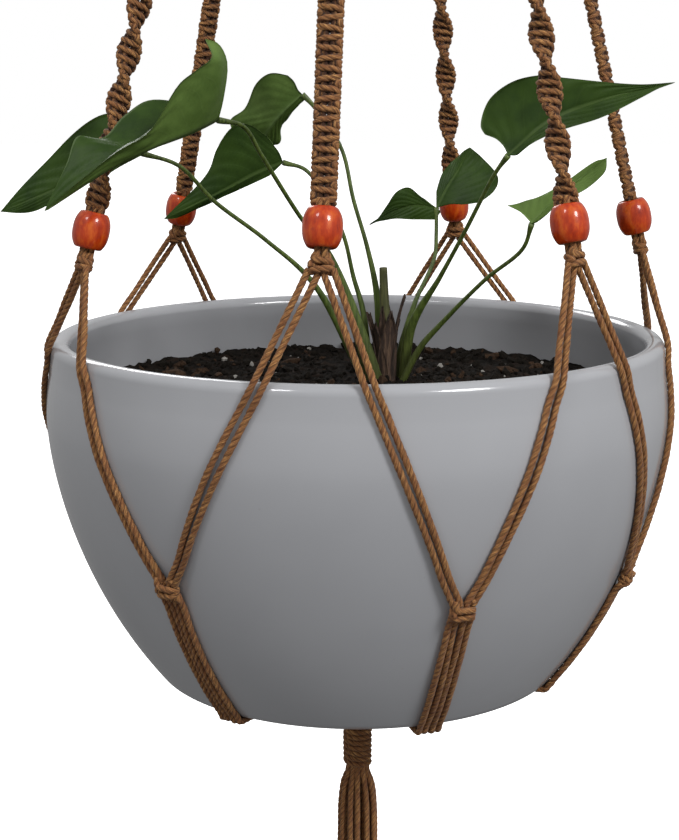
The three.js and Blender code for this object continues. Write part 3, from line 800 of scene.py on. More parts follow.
def upper_strands(line, ends, index):
    """Four plain strands from the head's wrap to the first knot of an arm."""
    azimuth = ARM_TOP_AZIMUTH + 60 * index
    strands = []
    for k, end in enumerate(ends):
        swing = azimuth + (-ARM_TOP_SWING if k % 2 else ARM_TOP_SWING)
        depth = -ARM_TOP_DEPTH if k < 2 else ARM_TOP_DEPTH
        top = polar(ARM_TOP_R - 0.9 + depth, swing, TOP_WRAP_Z[1] + 4)
        leave = polar(ARM_TOP_R + depth, swing, ARM_TOP_Z)
        route = [top, leave, lerp(leave, end, 0.5), end + line.down * 2]
        strands.append((even_path(route, STRAND_STEP), CORD_R))
    return strands


def bead_profile():
    """Barrel outline with rounded rims, from the bore's top round to the bore's foot."""
    rim = [(BEAD_BORE_R, 7.4), (4.2, 8.0), (4.8, BEAD_HALF), (5.5, 8.1), (6.1, 7.7)]
    heights = np.linspace(6.9, -6.9, 14)
    side = [(BEAD_R * (1 - 0.30 * abs(h / BEAD_HALF) ** 2.6), h) for h in heights]
    return rim + side + [(r, -z) for r, z in rim[::-1]]


def lathe(profile, segments):
    """Points and faces of a closed turned solid; the profile closes on itself."""
    a = circle_angles(segments)[:, None]
    r, z = np.array(profile, float).T
    points = turn_about(r, a, z + 0 * a).reshape(-1, 3)
    n = len(profile)
    faces = []
    for i in range(segments):
        for j in range(n):
            here, there = i * n, ((i + 1) % segments) * n
            faces.append([here + j, here + (j + 1) % n, there + (j + 1) % n, there + j])
    return points, faces


def make_bead(name, line, material):
    points, faces = lathe(bead_profile(), 56)
    spin = math.radians(rng.uniform(0, 360))
    world = line.at(rotated(points, spin) * vec(1, 1, -1))
    piece = make_object(f"bead_wood_{name}", world, faces, material)
    register(piece, f"bead_{name}", "bead_lacquer", f"bead_{name}")


def make_bead_knot(name, line):
    """Four strands through the bead, and the square knot under it."""
    top = -BEAD_HALF - BEAD_GAP - 3
    bottom = KNOT_TOP + 1.5
    quarters = [(x, y) for x in (-CORD_R, CORD_R) for y in (-CORD_R, CORD_R)]
    cords = [
        (even_path(line.at([(x, y, z) for z in np.linspace(top, bottom, 6)]), STRAND_STEP), CORD_R)
        for x, y in quarters
    ]
    pitch = KNOT_HEIGHT / 2 - 0.3  # two half knots, packed close
    lift = vec(0, 0, KNOT_TOP + 0.7)  # leaves the bead room to slide down
    for side, local in zip((-1, 1), square_knot_cords(2, 4.0, 2.0, pitch)):
        entry = np.array([(side * 1.6, -side, -1.5)])
        local = np.vstack([entry, local]) + lift
        cords.append((even_path(line.at(local), KNOT_STEP), CORD_R * 1.05))
    for x in (-CORD_R, CORD_R):
        run = [(x, 0, z) for z in np.linspace(KNOT_TOP - 1, KNOT_TOP + KNOT_HEIGHT, 4)]
        cords.append((even_path(line.at(run), KNOT_STEP), CORD_R))
    register(cord_object(f"bead_knot_cords_{name}", cords), "cradle", "cord", f"bead_knot_{name}")


# ---------- bowl ----------


def wall_r(z, inset=0.0):
    """Radius of the bowl's outside, or of its inside, at a height from the rim plane."""
    share = np.abs(z - BELLY_Z) / (BELLY_DEPTH - inset)
    return (BELLY_R - inset) * (1 - share**CURVE_DOWN) ** (1 / CURVE_ROUND)


def bowl_normal(azimuth, z):
    slope = wall_r(z + 0.5) - wall_r(z - 0.5)
    return unit(polar(1, azimuth, -slope))  # the wall's radius changes by slope for each mm of height


def on_bowl(azimuth, z, clearance):
    return polar(wall_r(z), azimuth, z) + bowl_normal(azimuth, z) * clearance


def make_bowl():
    """The hollow bowl, turned from one outline: foot, wall, round lip, inside and floor."""
    foot_r = wall_r(FOOT_Z)
    profile = [(0.01, FOOT_Z), (foot_r - 2.5, FOOT_Z), (foot_r - 0.9, FOOT_Z + 0.5)]
    profile += [(wall_r(z), z) for z in np.linspace(FOOT_Z + 1.2, -14, 60)]
    for a in np.radians(np.linspace(0, 180, 15)):
        profile.append((LIP_CENTRE_R + LIP_R * math.cos(a), -LIP_R + LIP_R * math.sin(a)))
    profile += [(wall_r(z, WALL), z) for z in np.linspace(-12, FOOT_Z + WALL + 4, 40)]
    profile += [(wall_r(FOOT_Z + WALL, WALL) - 6, FOOT_Z + WALL), (0.01, FOOT_Z + WALL)]
    points, faces = lathe(profile, 160)
    bowl = make_object("bowl_glazed", points + vec(0, 0, RIM_Z), faces, glaze_material())
    register(bowl, "pot", "glaze", "bowl")


# ---------- sling and base bands ----------


def diamond(index):
    """Azimuth, half gap to the arms and height of the diamond knot before an arm."""
    gap = (ARMS[index].azimuth - ARMS[index - 1].azimuth) % 360
    return ARMS[index].azimuth - gap / 2, gap / 2, -ARMS[index].drop


def knot_frame(knot):
    """Middle, right, out and down of a diamond knot, from the rim plane."""
    azimuth, _, z = knot
    out = bowl_normal(azimuth, z)
    right = radial(azimuth + 90)
    down = np.cross(right, out)
    down *= -np.sign(down[2])
    return on_bowl(azimuth, z, DIAMOND_THICKNESS / 2 + 0.05), right, out, down


def offset_strands(centre, outs, offsets):
    """Paths beside a centre line: each row of offsets is one strand's sideways share at each point."""
    tangents = unit(np.gradient(centre, axis=0))
    sideways = unit(np.cross(tangents, outs))
    return [centre + sideways * np.asarray(row)[:, None] for row in offsets]


def pair_route(line, azimuth, knot, hand):
    """The middle line of a pair of strands from the rim plane, and the way each point looks."""
    knot_foot = line.bead + line.down * (KNOT_TOP + KNOT_HEIGHT - 1.2) - vec(0, 0, RIM_Z)
    start = knot_foot + radial(azimuth + 90) * hand * PAIR_HALF_GAP
    rim_azimuth = azimuth + hand * RIM_SPREAD * knot[1]
    touch = math.radians(RIM_TOUCH)
    reach = LIP_R + CORD_R + 0.15
    rim = polar(LIP_CENTRE_R + reach * math.cos(touch), rim_azimuth, -LIP_R + reach * math.sin(touch))
    centre = [start, lerp(start, rim, 0.35), lerp(start, rim, 0.7), rim]
    outs = [radial(azimuth)] * 2 + [radial(rim_azimuth)] * 2
    target = azimuth + hand * (knot[1] - PAIR_INSET)
    for k in range(1, 10):
        share = PAIR_END * k / 10
        z = lerp(rim[2], knot[2], share)
        place = lerp(rim_azimuth, target, share)
        centre.append(on_bowl(place, z, CORD_R + 1.2 * share**6))  # rises to the knot at the end
        outs.append(bowl_normal(place, z))
    middle, right, out, down = knot_frame(knot)
    centre.append(middle - right * hand * PAIR_HALF_GAP - down * 3.4 - out * 0.6)
    outs.append(out)
    return np.array(centre), np.array(outs)


def sling_pair(line, azimuth, knot, hand):
    """Two strands from the knot under a bead, over the rim, to a diamond knot."""
    centre, outs = pair_route(line, azimuth, knot, hand)
    t = np.linspace(0, 1, len(centre))
    bow = np.sin(np.pi * t) ** 2
    apart = 0.55 * (1 - t) ** 2
    lean = rng.uniform(0.1, 1.6)  # how far the outer strand strays from the inner one
    paths = offset_strands(centre, outs, [-1.6 - 0.3 * bow - apart, 1.5 + lean * bow + apart])
    return [(even_path(p + vec(0, 0, RIM_Z), STRAND_STEP), CORD_R) for p in paths]


def make_sling(index):
    arm = ARMS[index]
    for side, hand, knot_index in (("left", -1, index), ("right", 1, (index + 1) % len(ARMS))):
        strands = sling_pair(ArmLine(arm), arm.azimuth, diamond(knot_index), hand)
        piece = cord_object(f"sling_cords_{arm.name}_{side}", strands)
        register(piece, "cradle", "cord", f"sling_{arm.name}_{side}")


def make_diamond(index, place):
    """The square knot in which two pairs of strands meet."""
    middle, right, out, down = knot_frame(diamond(index))
    origin = middle + vec(0, 0, RIM_Z)
    axes = np.stack([right, out, down])
    pitch = 3.7
    cords = []
    for side, local in zip((-1, 1), square_knot_cords(2, 4.6, 1.75, pitch)):
        entry = np.array([(side * 4.0, 0, -2.2)])
        leave = np.array([(local[-1][0] * 0.95, -0.8, 2 * pitch + 1.5)])
        local = np.vstack([entry, local, leave]) - vec(0, 0, pitch)
        cords.append((even_path(origin + local @ axes, KNOT_STEP), CORD_R * WOUND))
    for x in (-CORD_R, CORD_R):
        run = np.array([(x, -0.5, z) for z in (-4.5, -1.5, 1.5, 5.5)])
        cords.append((even_path(origin + run @ axes, KNOT_STEP), CORD_R))
    register(cord_object(f"diamond_cords_{place}", cords), "cradle", "cord", f"diamond_{place}")


FOOT_R = wall_r(FOOT_Z)
WALL_STATIONS = 12

# Stations of a base band from the foot's edge, under the foot and down into the gather: radius,
# lift off the foot's level, tilt of the way out, and how far the four strands have clumped.
UNDER = [
    (FOOT_R + 1.3, 0.9, -45, 0.0),
    (FOOT_R - 6.0, 0.0, -90, 0.0),
    (45.0, 0.0, -90, 0.15),
    (20.0, 0.0, -90, 0.55),
    (11.0, -1.6, -70, 0.8),
    (6.6, -5.0, -35, 1.0),
    (5.3, -11.0, 0, 1.0),
    (4.4, -17.0, 0, 1.0),
]


def band_route(index):
    """The middle line of a base band, the way each point looks, and how far its strands clump."""
    azimuth, _, z_knot = diamond(index)
    turn = (BASE_AZIMUTH + 60 * index - azimuth + 180) % 360 - 180
    _, _, knot_out, knot_down = knot_frame(diamond(index))
    centre = [on_bowl(azimuth, z_knot, CORD_R + 1.2) + knot_down * 2.0]
    outs = [knot_out]
    clump = [0.0] * (WALL_STATIONS + 1)
    for k in range(1, WALL_STATIONS + 1):
        z = lerp(z_knot - DIAMOND_HEIGHT / 2, FOOT_Z + 2.5, k / WALL_STATIONS)
        centre.append(on_bowl(azimuth, z, CORD_R - 0.12))
        outs.append(bowl_normal(azimuth, z))
    for radius, lift, tilt, share in UNDER:
        place = azimuth + turn * smooth(0, FOOT_R - 12, FOOT_R - radius)
        t = math.radians(tilt)
        centre.append(polar(radius, place, FOOT_Z - CORD_R - STRAND_CLEARANCE + lift))
        outs.append(polar(math.cos(t), place, math.sin(t)))
        clump.append(share)
    return np.array(centre), np.array(outs), np.array(clump)


def base_band(index):
    """Four strands from a diamond knot, under the foot, and down into the gather."""
    centre, outs, clump = band_route(index)
    t = np.linspace(0, 1, len(centre))
    rows, lifts = [], []
    for k in range(4):
        wave = 0.35 * np.sin(2 * np.pi * (1.3 * t + rng.random()))
        rows.append(lerp((k - 1.5) * 3.1 + wave, CORD_R if k % 2 else -CORD_R, clump))
        lifts.append(lerp(0.3 * (k % 2) * np.sin(np.pi * t), 1.3 if k > 1 else -1.3, clump))
    return [
        (even_path(path + outs * lift[:, None] + vec(0, 0, RIM_Z), STRAND_STEP), CORD_R)
        for path, lift in zip(offset_strands(centre, outs, rows), lifts)
    ]


def make_base(index, place):
    piece = cord_object(f"base_cords_{place}", base_band(index))
    register_bent(piece, "cradle", "base_wrap", BASE_BEND, f"base_strands_{place}")


def make_base_wrap():
    top, bottom = BASE_WRAP_Z
    path = helix(BASE_WRAP_R - CORD_R, RIM_Z + top - CORD_R, RIM_Z + bottom + CORD_R, phase=1.0)
    register(cord_object("base_wrap_cord", [(path, CORD_R * WOUND)]), "base_wrap", "cord", "base_wrap")


# ---------- soil ----------

SOIL_R = float(wall_r(SOIL_Z, WALL)) - 0.4
SOIL_LEVELS = (-50.0, -100.0, -150.0)  # heights of the mix's outline below its surface


def soil_height(x, y):
    """Height of the soil's surface above its level, mounded round the plant."""
    rough = noise.fractal(Vector((x * 0.05, y * 0.05, 3.0)), 0.8, 2.2, 5)
    clods = noise.fractal(Vector((x * 0.25, y * 0.25, 9.0)), 0.7, 2.1, 3)
    mound = 3.5 * math.exp(-((x - CROWN[0]) ** 2 + (y - CROWN[1]) ** 2) / 900)
    return 2.2 * rough + 1.7 * clods + mound - 1.2


def make_soil():
    """The potting mix: an uneven surface over a plug that follows the bowl's inside."""
    rings, around = 130, 260
    angles = [2 * math.pi * j / around for j in range(around)]
    points = []
    for i in range(rings):
        r = SOIL_R * (i + 0.4) / (rings - 0.6)
        for x, y in [(r * math.cos(a), r * math.sin(a)) for a in angles]:
            points.append((x, y, RIM_Z + SOIL_Z + soil_height(x, y)))
    for z in SOIL_LEVELS:
        r = float(wall_r(z, WALL)) - 1.5
        points += [(r * math.cos(a), r * math.sin(a), RIM_Z + z) for a in angles]
    faces = grid_faces(rings + len(SOIL_LEVELS), around, wrap=True) + end_faces(points, around)
    soil = make_object("soil_mix", points, faces, soil_material())
    register(soil, "pot", "soil", "soil")


CRUMB_FACES = [
    (0, 1, 8), (0, 8, 4), (0, 4, 5), (0, 5, 9), (0, 9, 1), (1, 6, 8), (8, 6, 10), (8, 10, 4),
    (4, 10, 2), (4, 2, 5), (5, 2, 11), (5, 11, 9), (9, 11, 7), (9, 7, 1), (1, 7, 6),
    (3, 6, 7), (3, 10, 6), (3, 2, 10), (3, 11, 2), (3, 7, 11),
]


def crumb(centre, size, stretch):
    """A small rough lump as a 12-cornered solid."""
    phi = (1 + 5**0.5) / 2
    near, far = (1, -1), (phi, -phi)
    corners = [(0, a, b) for b in far for a in near]
    corners += [(a, b, 0) for b in far for a in near]
    corners += [(a, 0, b) for b in near for a in far]
    turn = Vector((rng.uniform(-1, 1), rng.uniform(-1, 1), rng.uniform(-1, 1))).normalized()
    spin = Vector((1, 0, 0)).rotation_difference(turn)
    points = []
    for corner in corners:
        p = Vector(corner) * (0.52 * size * rng.uniform(0.7, 1.15))
        p.x *= stretch
        points.append(spin @ p + Vector(centre))
    return points, CRUMB_FACES


def scatter(name, count, sizes, stretch, material):
    """Lumps strewn over the soil, most of them near the smaller of the two sizes."""
    points, faces = [], []
    for _ in range(count):
        r = SOIL_R * math.sqrt(rng.random()) * 0.985
        a = rng.uniform(0, 2 * math.pi)
        x, y = r * math.cos(a), r * math.sin(a)
        size = lerp(sizes[0], sizes[1], rng.random() ** 2.5)
        z = RIM_Z + SOIL_Z + soil_height(x, y) + 0.25 * size
        lump, lump_faces = crumb((x, y, z), size, rng.uniform(1, stretch))
        faces += shifted(lump_faces, len(points))
        points += lump
    piece = make_object(name, points, faces, material, smooth_shading=False)
    register(piece, "pot", "soil", "soil")


# ---------- plant ----------

BLADE = 0.7  # thickness of a leaf
STALK_CIRCLE_R = 9.0  # the stalks start on this circle round the crown

Leaf = namedtuple("Leaf", "name root stalk_r upper stalk blades")
Blade = namedtuple("Blade", "midrib left_base left_margin right_base right_margin")

# root is the azimuth on the crown, from +X, where a leaf's stalk starts, and upper is the side of the sheet,
# 1 or -1, that takes the darker upper-face green; the other side takes the paler under-face green, which is
# the leaf's own underside tone made brighter as painted light for faces in shade. Heights are from the rim
# plane. Each half of a blade spans the midrib and a margin, and its base runs from the stalk to the margin.
LEAVES = [
    Leaf("far_left", root=200, stalk_r=1.4, upper=1, stalk=[
        (-21, 6, 22), (-44, -6, 45), (-67, -18, 64), (-82, -30, 81), (-98, -38, 87),
    ], blades=[
        Blade(
            midrib=[(-98, -38, 87), (-129, -34, 74), (-165, -30, 60)],
            left_base=[(-97, -34, 95)],
            left_margin=[(-100, -32, 103), (-116, -30, 104), (-145, -30, 81)],
            right_base=[(-98, -41, 86)],
            right_margin=[(-101, -43, 85), (-119, -40, 75), (-151, -32, 60)],
        ),
    ]),
    Leaf("near_left", root=248, stalk_r=2.5, upper=-1, stalk=[
        (-13, 0, 36), (-27, -18, 57), (-43, -44, 86), (-50, -58, 99), (-60, -70, 102),
    ], blades=[
        Blade(
            midrib=[(-60, -70, 102), (-71, -82, 97), (-87, -90, 91), (-103, -94, 83), (-131, -97, 65)],
            left_base=[(-57, -75, 112), (-55, -80, 126), (-58, -84, 133)],
            left_margin=[
                (-63, -88, 135), (-60, -92, 128), (-66, -95, 123), (-72, -98, 117), (-85, -101, 98),
                (-98, -102, 91), (-115, -101, 77),
            ],
            right_base=[(-66, -66, 105)],
            right_margin=[
                (-75, -64, 109), (-91, -68, 110), (-100, -73, 104), (-108, -79, 94), (-118, -85, 96),
                (-122, -91, 84),
            ],
        ),
    ]),
    Leaf("upper_centre", root=104, stalk_r=1.5, upper=-1, stalk=[
        (10, 27, 13), (5, 26, 38), (-2, 26, 62), (-8, 28, 87), (-22, 25, 108), (-27, 25, 113),
    ], blades=[
        Blade(
            midrib=[(-27, 25, 113), (-36, 28, 105), (-43, 34, 97), (-48, 43, 87)],
            left_base=[(-29, 25, 115), (-31, 25, 119)],
            left_margin=[
                (-34, 25, 122), (-43, 28, 123), (-50, 33, 118), (-57, 42, 106), (-64, 48, 100),
                (-60, 49, 91),
            ],
            right_base=[(-26, 25, 111)],
            right_margin=[(-28, 28, 109), (-35, 34, 102), (-38, 38, 96), (-40, 42, 89)],
        ),
    ]),
    Leaf("lower_centre", root=152, stalk_r=1.2, upper=1, stalk=[
        (3, 30, 5), (-2, 30, 23), (-8, 27, 47), (-25, 27, 76), (-37, 30, 80),
    ], blades=[
        Blade(
            midrib=[(-37, 30, 80), (-49, 34, 75), (-67, 39, 66), (-99, 45, 51)],
            left_base=[(-39, 30, 85), (-42, 31, 89)],
            left_margin=[(-45, 31, 93), (-53, 33, 98), (-61, 36, 98), (-71, 40, 86), (-77, 43, 73)],
            right_base=[(-39, 31, 78)],
            right_margin=[(-44, 33, 73.4), (-60, 38, 66), (-73, 42, 60.3), (-89, 45, 52.5)],
        ),
    ]),
    Leaf("right", root=8, stalk_r=1.7, upper=-1, stalk=[
        (27, 16, 0), (40, 2, 26), (51, -14, 50), (63, -34, 78), (68, -40, 86),
    ], blades=[
        Blade(
            midrib=[(68, -40, 86), (86, -43, 101), (108, -46, 110), (140, -50, 118)],
            left_base=[(66, -38, 90), (63, -36, 93)],
            left_margin=[
                (58, -33, 95), (56, -32, 99), (59, -33, 110), (69, -36, 118), (80, -40, 121),
                (92, -43, 120), (125, -48, 117),
            ],
            right_base=[(71, -41, 86)],
            right_margin=[(73, -42, 87), (84, -45, 95), (107, -48, 102), (126, -50, 112)],
        ),
    ]),
    Leaf("centre", root=56, stalk_r=1.7, upper=1, stalk=[
        (24, 28, -7), (29, 29, 10), (39, 36, 32), (40, 39, 44), (40, 42, 57),
    ], blades=[
        Blade(
            midrib=[(40, 42, 57), (29, 43, 58), (18, 45, 55), (6, 46, 48)],
            left_base=[(37, 42, 59)],
            left_margin=[(33, 42, 62), (26, 43, 67), (20, 44, 65), (15, 45, 58), (10, 46, 51)],
            right_base=[(42, 41, 55)],
            right_margin=[(39, 41, 51), (28, 42, 51), (16, 44, 51)],
        ),
        Blade(
            midrib=[(40, 42, 57), (45, 44, 67), (51, 46, 76), (57, 47, 87)],
            left_base=[(47, 39, 59), (54, 37, 59)],
            left_margin=[(62, 36, 60), (68, 36, 65), (71, 38, 71), (68, 42, 77), (63, 45, 82)],
            right_base=[(40, 43, 61)],
            right_margin=[(40, 44, 65), (43, 46, 74), (47.5, 48, 79), (52, 48, 83.5)],
        ),
    ]),
    Leaf("small_right", root=320, stalk_r=1.1, upper=1, stalk=[
        (31, 10, -10), (41, 4, 3), (61, -14, 27), (77, -28, 43), (80, -35, 55),
    ], blades=[
        Blade(
            midrib=[(80, -35, 55), (95, -36, 70), (113, -38, 85)],
            left_base=[(75, -33, 60)],
            left_margin=[(69, -30, 63), (81, -32, 66), (108, -37, 83)],
            right_base=[(82, -37, 56)],
            right_margin=[(84, -38, 58), (94, -40, 66), (112, -39, 78)],
        ),
    ]),
]

LEAF_ROWS = 44
LEAF_COLUMNS = 14  # on each side of the midrib


def blade_grid(blade):
    """Points over both halves of a blade, with their place across (-1 to 1) and along (0 to 1)."""
    midrib = np.array(blade.midrib, float)
    down = 1 - (1 - np.linspace(0, 1, LEAF_ROWS + 1)) ** 1.15
    half = np.linspace(0, 1, LEAF_COLUMNS + 1)
    across = np.concatenate([-half[:0:-1], half])
    rib = curve_at(midrib, down)
    t = down[:, None]
    columns = []
    for s in across:
        base, margin = blade[1:3] if s < 0 else blade[3:5]
        edge = np.vstack([margin, midrib[-1]])
        share = abs(s)
        root = curve_at([midrib[0], *base, margin[0]], share)[0]
        flat = lerp(rib, curve_at(edge, down), share)
        columns.append(flat + (root - lerp(midrib[0], edge[0], share)) * (1 - t))
    points = np.stack(columns, 1)
    return points, np.broadcast_to(across, points.shape[:2]), np.broadcast_to(t, points.shape[:2])


def grid_normals(points):
    over = np.gradient(points, axis=1)
    down = np.gradient(points, axis=0)
    normals = np.cross(down, over)
    length = np.linalg.norm(normals, axis=-1, keepdims=True)
    return normals / np.maximum(length, 1e-6)


def leaf_relief(across, length):
    """How far a blade's surface rises: a crease at the midrib, and a ripple between side veins."""
    share = np.abs(across)
    crease = -0.9 * np.exp(-((share / 0.05) ** 2))
    ripple = 0.35 * np.sin(2 * np.pi * (8 * length - 3.2 * share)) * np.sin(np.pi * share)
    wave = 0.9 * np.sin(2 * np.pi * 2.3 * length + 1.0) * share**3
    fade = np.sin(np.pi * np.clip(length, 0, 1)) ** 0.5
    return (crease + ripple + wave) * fade


def sheet_solid(grid, normals, half):
    """A grid thickened to both sides by half: its points, and its top, under and rim faces."""
    rows, columns = grid.shape[:2]
    size = rows * columns
    points = np.vstack([(grid + normals * half).reshape(-1, 3), (grid - normals * half).reshape(-1, 3)])
    top = grid_faces(rows, columns)
    under = [[i + size for i in face[::-1]] for face in top]
    border = [i * columns for i in range(rows)]
    border += range((rows - 1) * columns + 1, size)
    border += [i * columns + columns - 1 for i in range(rows - 2, -1, -1)]
    border += range(columns - 2, 0, -1)
    rim = [[a, a + size, b + size, b] for a, b in zip(border, border[1:] + border[:1])]
    return points, top, under, rim


def make_blade(name, blade, upper, materials):
    """A thin closed leaf sheet; its upper and under faces have their own materials."""
    grid, across, length = blade_grid(blade)
    normals = grid_normals(grid)
    grid = grid + normals * (upper * leaf_relief(across, length))[..., None]
    half = BLADE / 2 * (1 - 0.8 * np.abs(across) ** 6)[..., None]  # thinner at the margins
    points, top, under, rim = sheet_solid(grid, normals, half)
    points[:, 2] += RIM_Z
    place = np.stack([across, length, 0 * length], -1).reshape(-1, 3)
    faces = top + under + rim
    piece = make_object(name, points, faces, materials[0], vectors={"leaf": np.vstack([place, place])})
    piece.data.materials.append(materials[1])
    first, second = (0, 1) if upper > 0 else (1, 0)
    indices = [first] * len(top) + [second] * (len(under) + len(rim))
    piece.data.polygons.foreach_set("material_index", indices)
    return piece


def tube(path, radii, sides=14, ridge=0.04):
    """Points and faces of a round stem with faint ridges and closed ends."""
    normals, binormals = round_axes(path)
    angle = circle_angles(sides)[None, :, None]
    r = radii[:, None, None] * (1 + ridge * np.cos(3 * angle))
    points = (path[:, None, :] + r * (np.cos(angle) * normals + np.sin(angle) * binormals)).reshape(-1, 3)
    return points, grid_faces(len(path), sides, wrap=True) + end_faces(points, sides)


def make_leaf(leaf, materials, stalk_finish):
    a = math.radians(leaf.root)
    foot = (CROWN[0] + STALK_CIRCLE_R * math.cos(a), CROWN[1] + STALK_CIRCLE_R * math.sin(a), SOIL_Z - 2)
    path = even_path([foot] + leaf.stalk, 1.5)
    t = np.linspace(0, 1, len(path))
    body = lerp(leaf.stalk_r * 1.6, 1.15, smooth(0.05, 0.55, t))
    points, faces = tube(path, body - 0.2 * t + 0.5 * smooth(0.94, 1.0, t))  # swells at the blade
    pieces = [make_object(f"stalk_{leaf.name}", points + vec(0, 0, RIM_Z), faces, stalk_finish)]
    for k, blade in enumerate(leaf.blades):
        suffix = "" if len(leaf.blades) == 1 else f"_{k}"
        pieces.append(make_blade(f"blade_{leaf.name}{suffix}", blade, leaf.upper, materials))
    for piece in pieces:
        register(piece, "pot", "leaf", f"leaf_{leaf.name}")


# azimuth, height, lean outwards at the tip, half width in degrees, and curl of each dry sheath
SHEATHS = [
    (20, 36, 3.0, 75, 1.5), (95, 33, 2.5, 70, 1.0), (170, 40, 2.0, 62, 1.2), (250, 34, 4.0, 70, 2.0),
    (310, 30, 2.0, 66, 1.0), (70, 44, 6.0, 34, 0.6), (340, 38, 0.5, 60, 0.8),
]
SHEATH_HALF = 0.3  # half of a sheath's thickness
STUB_ROUTE = [(0, 0, -1), (0.3, 0, 20), (-0.5, 0.3, 40), (-1.2, 0.2, 58)]


def sheath_grid(azimuth, height, lean, width, curl):
    """A tapering dry sheath with a ragged tip, round part of the crown: rows up, columns round."""
    rows, columns = 16, 9
    grid = np.empty((rows, columns, 3))
    for i, t in enumerate(np.linspace(0, 1, rows)):
        r = lerp(5.6, 3.9, t**0.8) + lean * t**3
        half = width * (1 - t**1.6) + 4
        s = np.linspace(-1, 1, columns)
        ragged = 1.5 * np.sin(9 * s + azimuth) * t
        grid[i] = polar(r + curl * s * s * t, azimuth + half * s, height * t + ragged)
    return grid


def make_crown():
    """The dry sheaths round the foot of the plant, and the cut stub of an old stalk in them."""
    shift = vec(CROWN[0], CROWN[1], RIM_Z + SOIL_Z)
    points, faces = [], []
    for sheath in SHEATHS:
        grid = sheath_grid(*sheath)
        both, top, under, rim = sheet_solid(grid, grid_normals(grid), SHEATH_HALF)
        faces += shifted(top + under + rim, len(points))
        points += list(both)
    crown = make_object("crown_sheaths", np.array(points) + shift, faces, sheath_material())
    path = even_path(STUB_ROUTE, 1.5) + shift
    stub_points, stub_faces = tube(path, np.linspace(3.2, 1.9, len(path)), ridge=0.1)
    stub = make_object("crown_stub", stub_points, stub_faces, stub_material())
    for piece in (crown, stub):
        register(piece, "pot", "sheath", "plant_crown")


# ---------- floor and light ----------

# In metres from here on.
FLOOR_Z = -1.42
FLOOR_HALF = 30.0
LIGHT_TARGET = (0, 0, -0.65)
# name, place, size and power
LIGHTS = [
    ("key", (1.3, -1.5, 0.7), 0.7, 34),
    ("fill", (-0.9, -1.2, 0.9), 0.5, 9),
    ("back", (-0.8, 1.8, 0.6), 1.0, 16),
]


def make_stage():
    corners = [(x * FLOOR_HALF, y * FLOOR_HALF, FLOOR_Z) for x, y in ((-1, -1), (1, -1), (1, 1), (-1, 1))]
    mesh = bpy.data.meshes.new("floor")
    mesh.from_pydata(corners, [], [(0, 1, 2, 3)])
    finish = Shader("floor")
    finish.set(Base_Color=(0.9, 0.9, 0.9, 1), Roughness=0.9, Specular_IOR_Level=0.1)
    finish.set(Emission_Color=(1, 1, 1, 1), Emission_Strength=1.0)
    mesh.materials.append(finish.material)
    floor = bpy.data.objects.new("floor", mesh)
    bpy.context.scene.collection.objects.link(floor)
    floor.visible_diffuse = False
    floor.visible_glossy = False


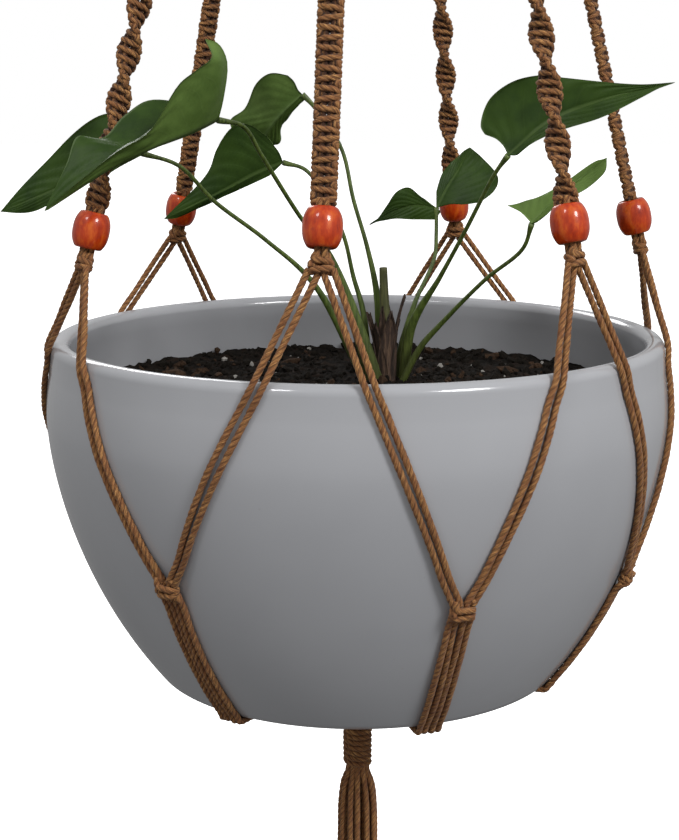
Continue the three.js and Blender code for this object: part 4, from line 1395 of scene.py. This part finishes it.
def make_world():
    """A white backdrop for the camera, and dimmer even light that fades below the horizon."""
    world = bpy.data.worlds.new("studio")
    world.use_nodes = True
    tree = world.node_tree
    dome = tree.nodes["Background"]
    backdrop = tree.nodes.new("ShaderNodeBackground")
    direction = tree.nodes.new("ShaderNodeTexCoord")
    parts = tree.nodes.new("ShaderNodeSeparateXYZ")
    fade = tree.nodes.new("ShaderNodeMapRange")
    rays = tree.nodes.new("ShaderNodeLightPath")
    choice = tree.nodes.new("ShaderNodeMixShader")
    fade.interpolation_type = "SMOOTHSTEP"
    for key, value in (("From Min", -0.6), ("From Max", 0.3), ("To Min", 0.16), ("To Max", 0.5)):
        fade.inputs[key].default_value = value
    tree.links.new(direction.outputs["Generated"], parts.inputs["Vector"])
    tree.links.new(parts.outputs["Z"], fade.inputs["Value"])
    tree.links.new(fade.outputs["Result"], dome.inputs["Strength"])
    dome.inputs["Color"].default_value = (1, 1, 1, 1)
    backdrop.inputs["Color"].default_value = (1, 1, 1, 1)
    backdrop.inputs["Strength"].default_value = 1.0
    tree.links.new(rays.outputs["Is Camera Ray"], choice.inputs["Fac"])
    tree.links.new(dome.outputs["Background"], choice.inputs[1])
    tree.links.new(backdrop.outputs["Background"], choice.inputs[2])
    tree.links.new(choice.outputs["Shader"], tree.nodes["World Output"].inputs["Surface"])
    bpy.context.scene.world = world


def make_light(name, location, size, power):
    data = bpy.data.lights.new(name, "AREA")
    data.shape = "DISK"
    data.size = size
    data.energy = power
    light = bpy.data.objects.new(name, data)
    bpy.context.scene.collection.objects.link(light)
    light.location = location
    light.rotation_euler = (Vector(LIGHT_TARGET) - Vector(location)).to_track_quat("-Z", "Y").to_euler()


# ---------- assembly ----------

make_ring()
make_head()

lacquer = lacquer_material()
over_arms = []
for index, arm in enumerate(ARMS):
    over_arms += make_arm(arm, index)
    make_bead(arm.name, ArmLine(arm), lacquer)
    make_bead_knot(arm.name, ArmLine(arm))
    make_sling(index)
    place = f"{ARMS[index - 1].name}_{arm.name}"
    make_diamond(index, place)
    make_base(index, place)

over_arms_piece = cord_object("upper_strands", over_arms)
register_bent(over_arms_piece, "head", "cradle", ARMS_BEND, *(f"arm_{arm.name}" for arm in ARMS))

make_base_wrap()
make_bowl()
make_soil()
crumbs = crumb_material("crumb", (0.004, 0.0033, 0.0027), (0.020, 0.016, 0.012))
scatter("soil_crumbs", 2600, (0.6, 2.8), 1.6, crumbs)
bark = crumb_material("bark", (0.015, 0.009, 0.006), (0.085, 0.050, 0.030))
scatter("soil_bark", 170, (1.0, 3.8), 3.0, bark)
perlite = crumb_material("perlite", (0.2, 0.19, 0.17), (0.45, 0.43, 0.40))
scatter("soil_perlite", 150, (0.6, 2.0), 1.3, perlite)

# painted light: the under-face green is brighter than the leaf's underside tone, so that faces turned into
# shade look lit
leaf_faces = (
    leaf_material("leaf_upper", (0.017, 0.040, 0.006), (0.037, 0.076, 0.010), (0.08, 0.13, 0.03), 0.45),
    leaf_material("leaf_under_and_painted_light", (0.070, 0.125, 0.024), (0.125, 0.205, 0.046), (0.17, 0.26, 0.09), 0.5),
)
stalk_finish = stalk_material()
for leaf in LEAVES:
    make_leaf(leaf, leaf_faces, stalk_finish)
make_crown()

make_stage()
make_world()
for light in LIGHTS:
    make_light(*light)
bpy.context.scene.view_settings.view_transform = "Standard"
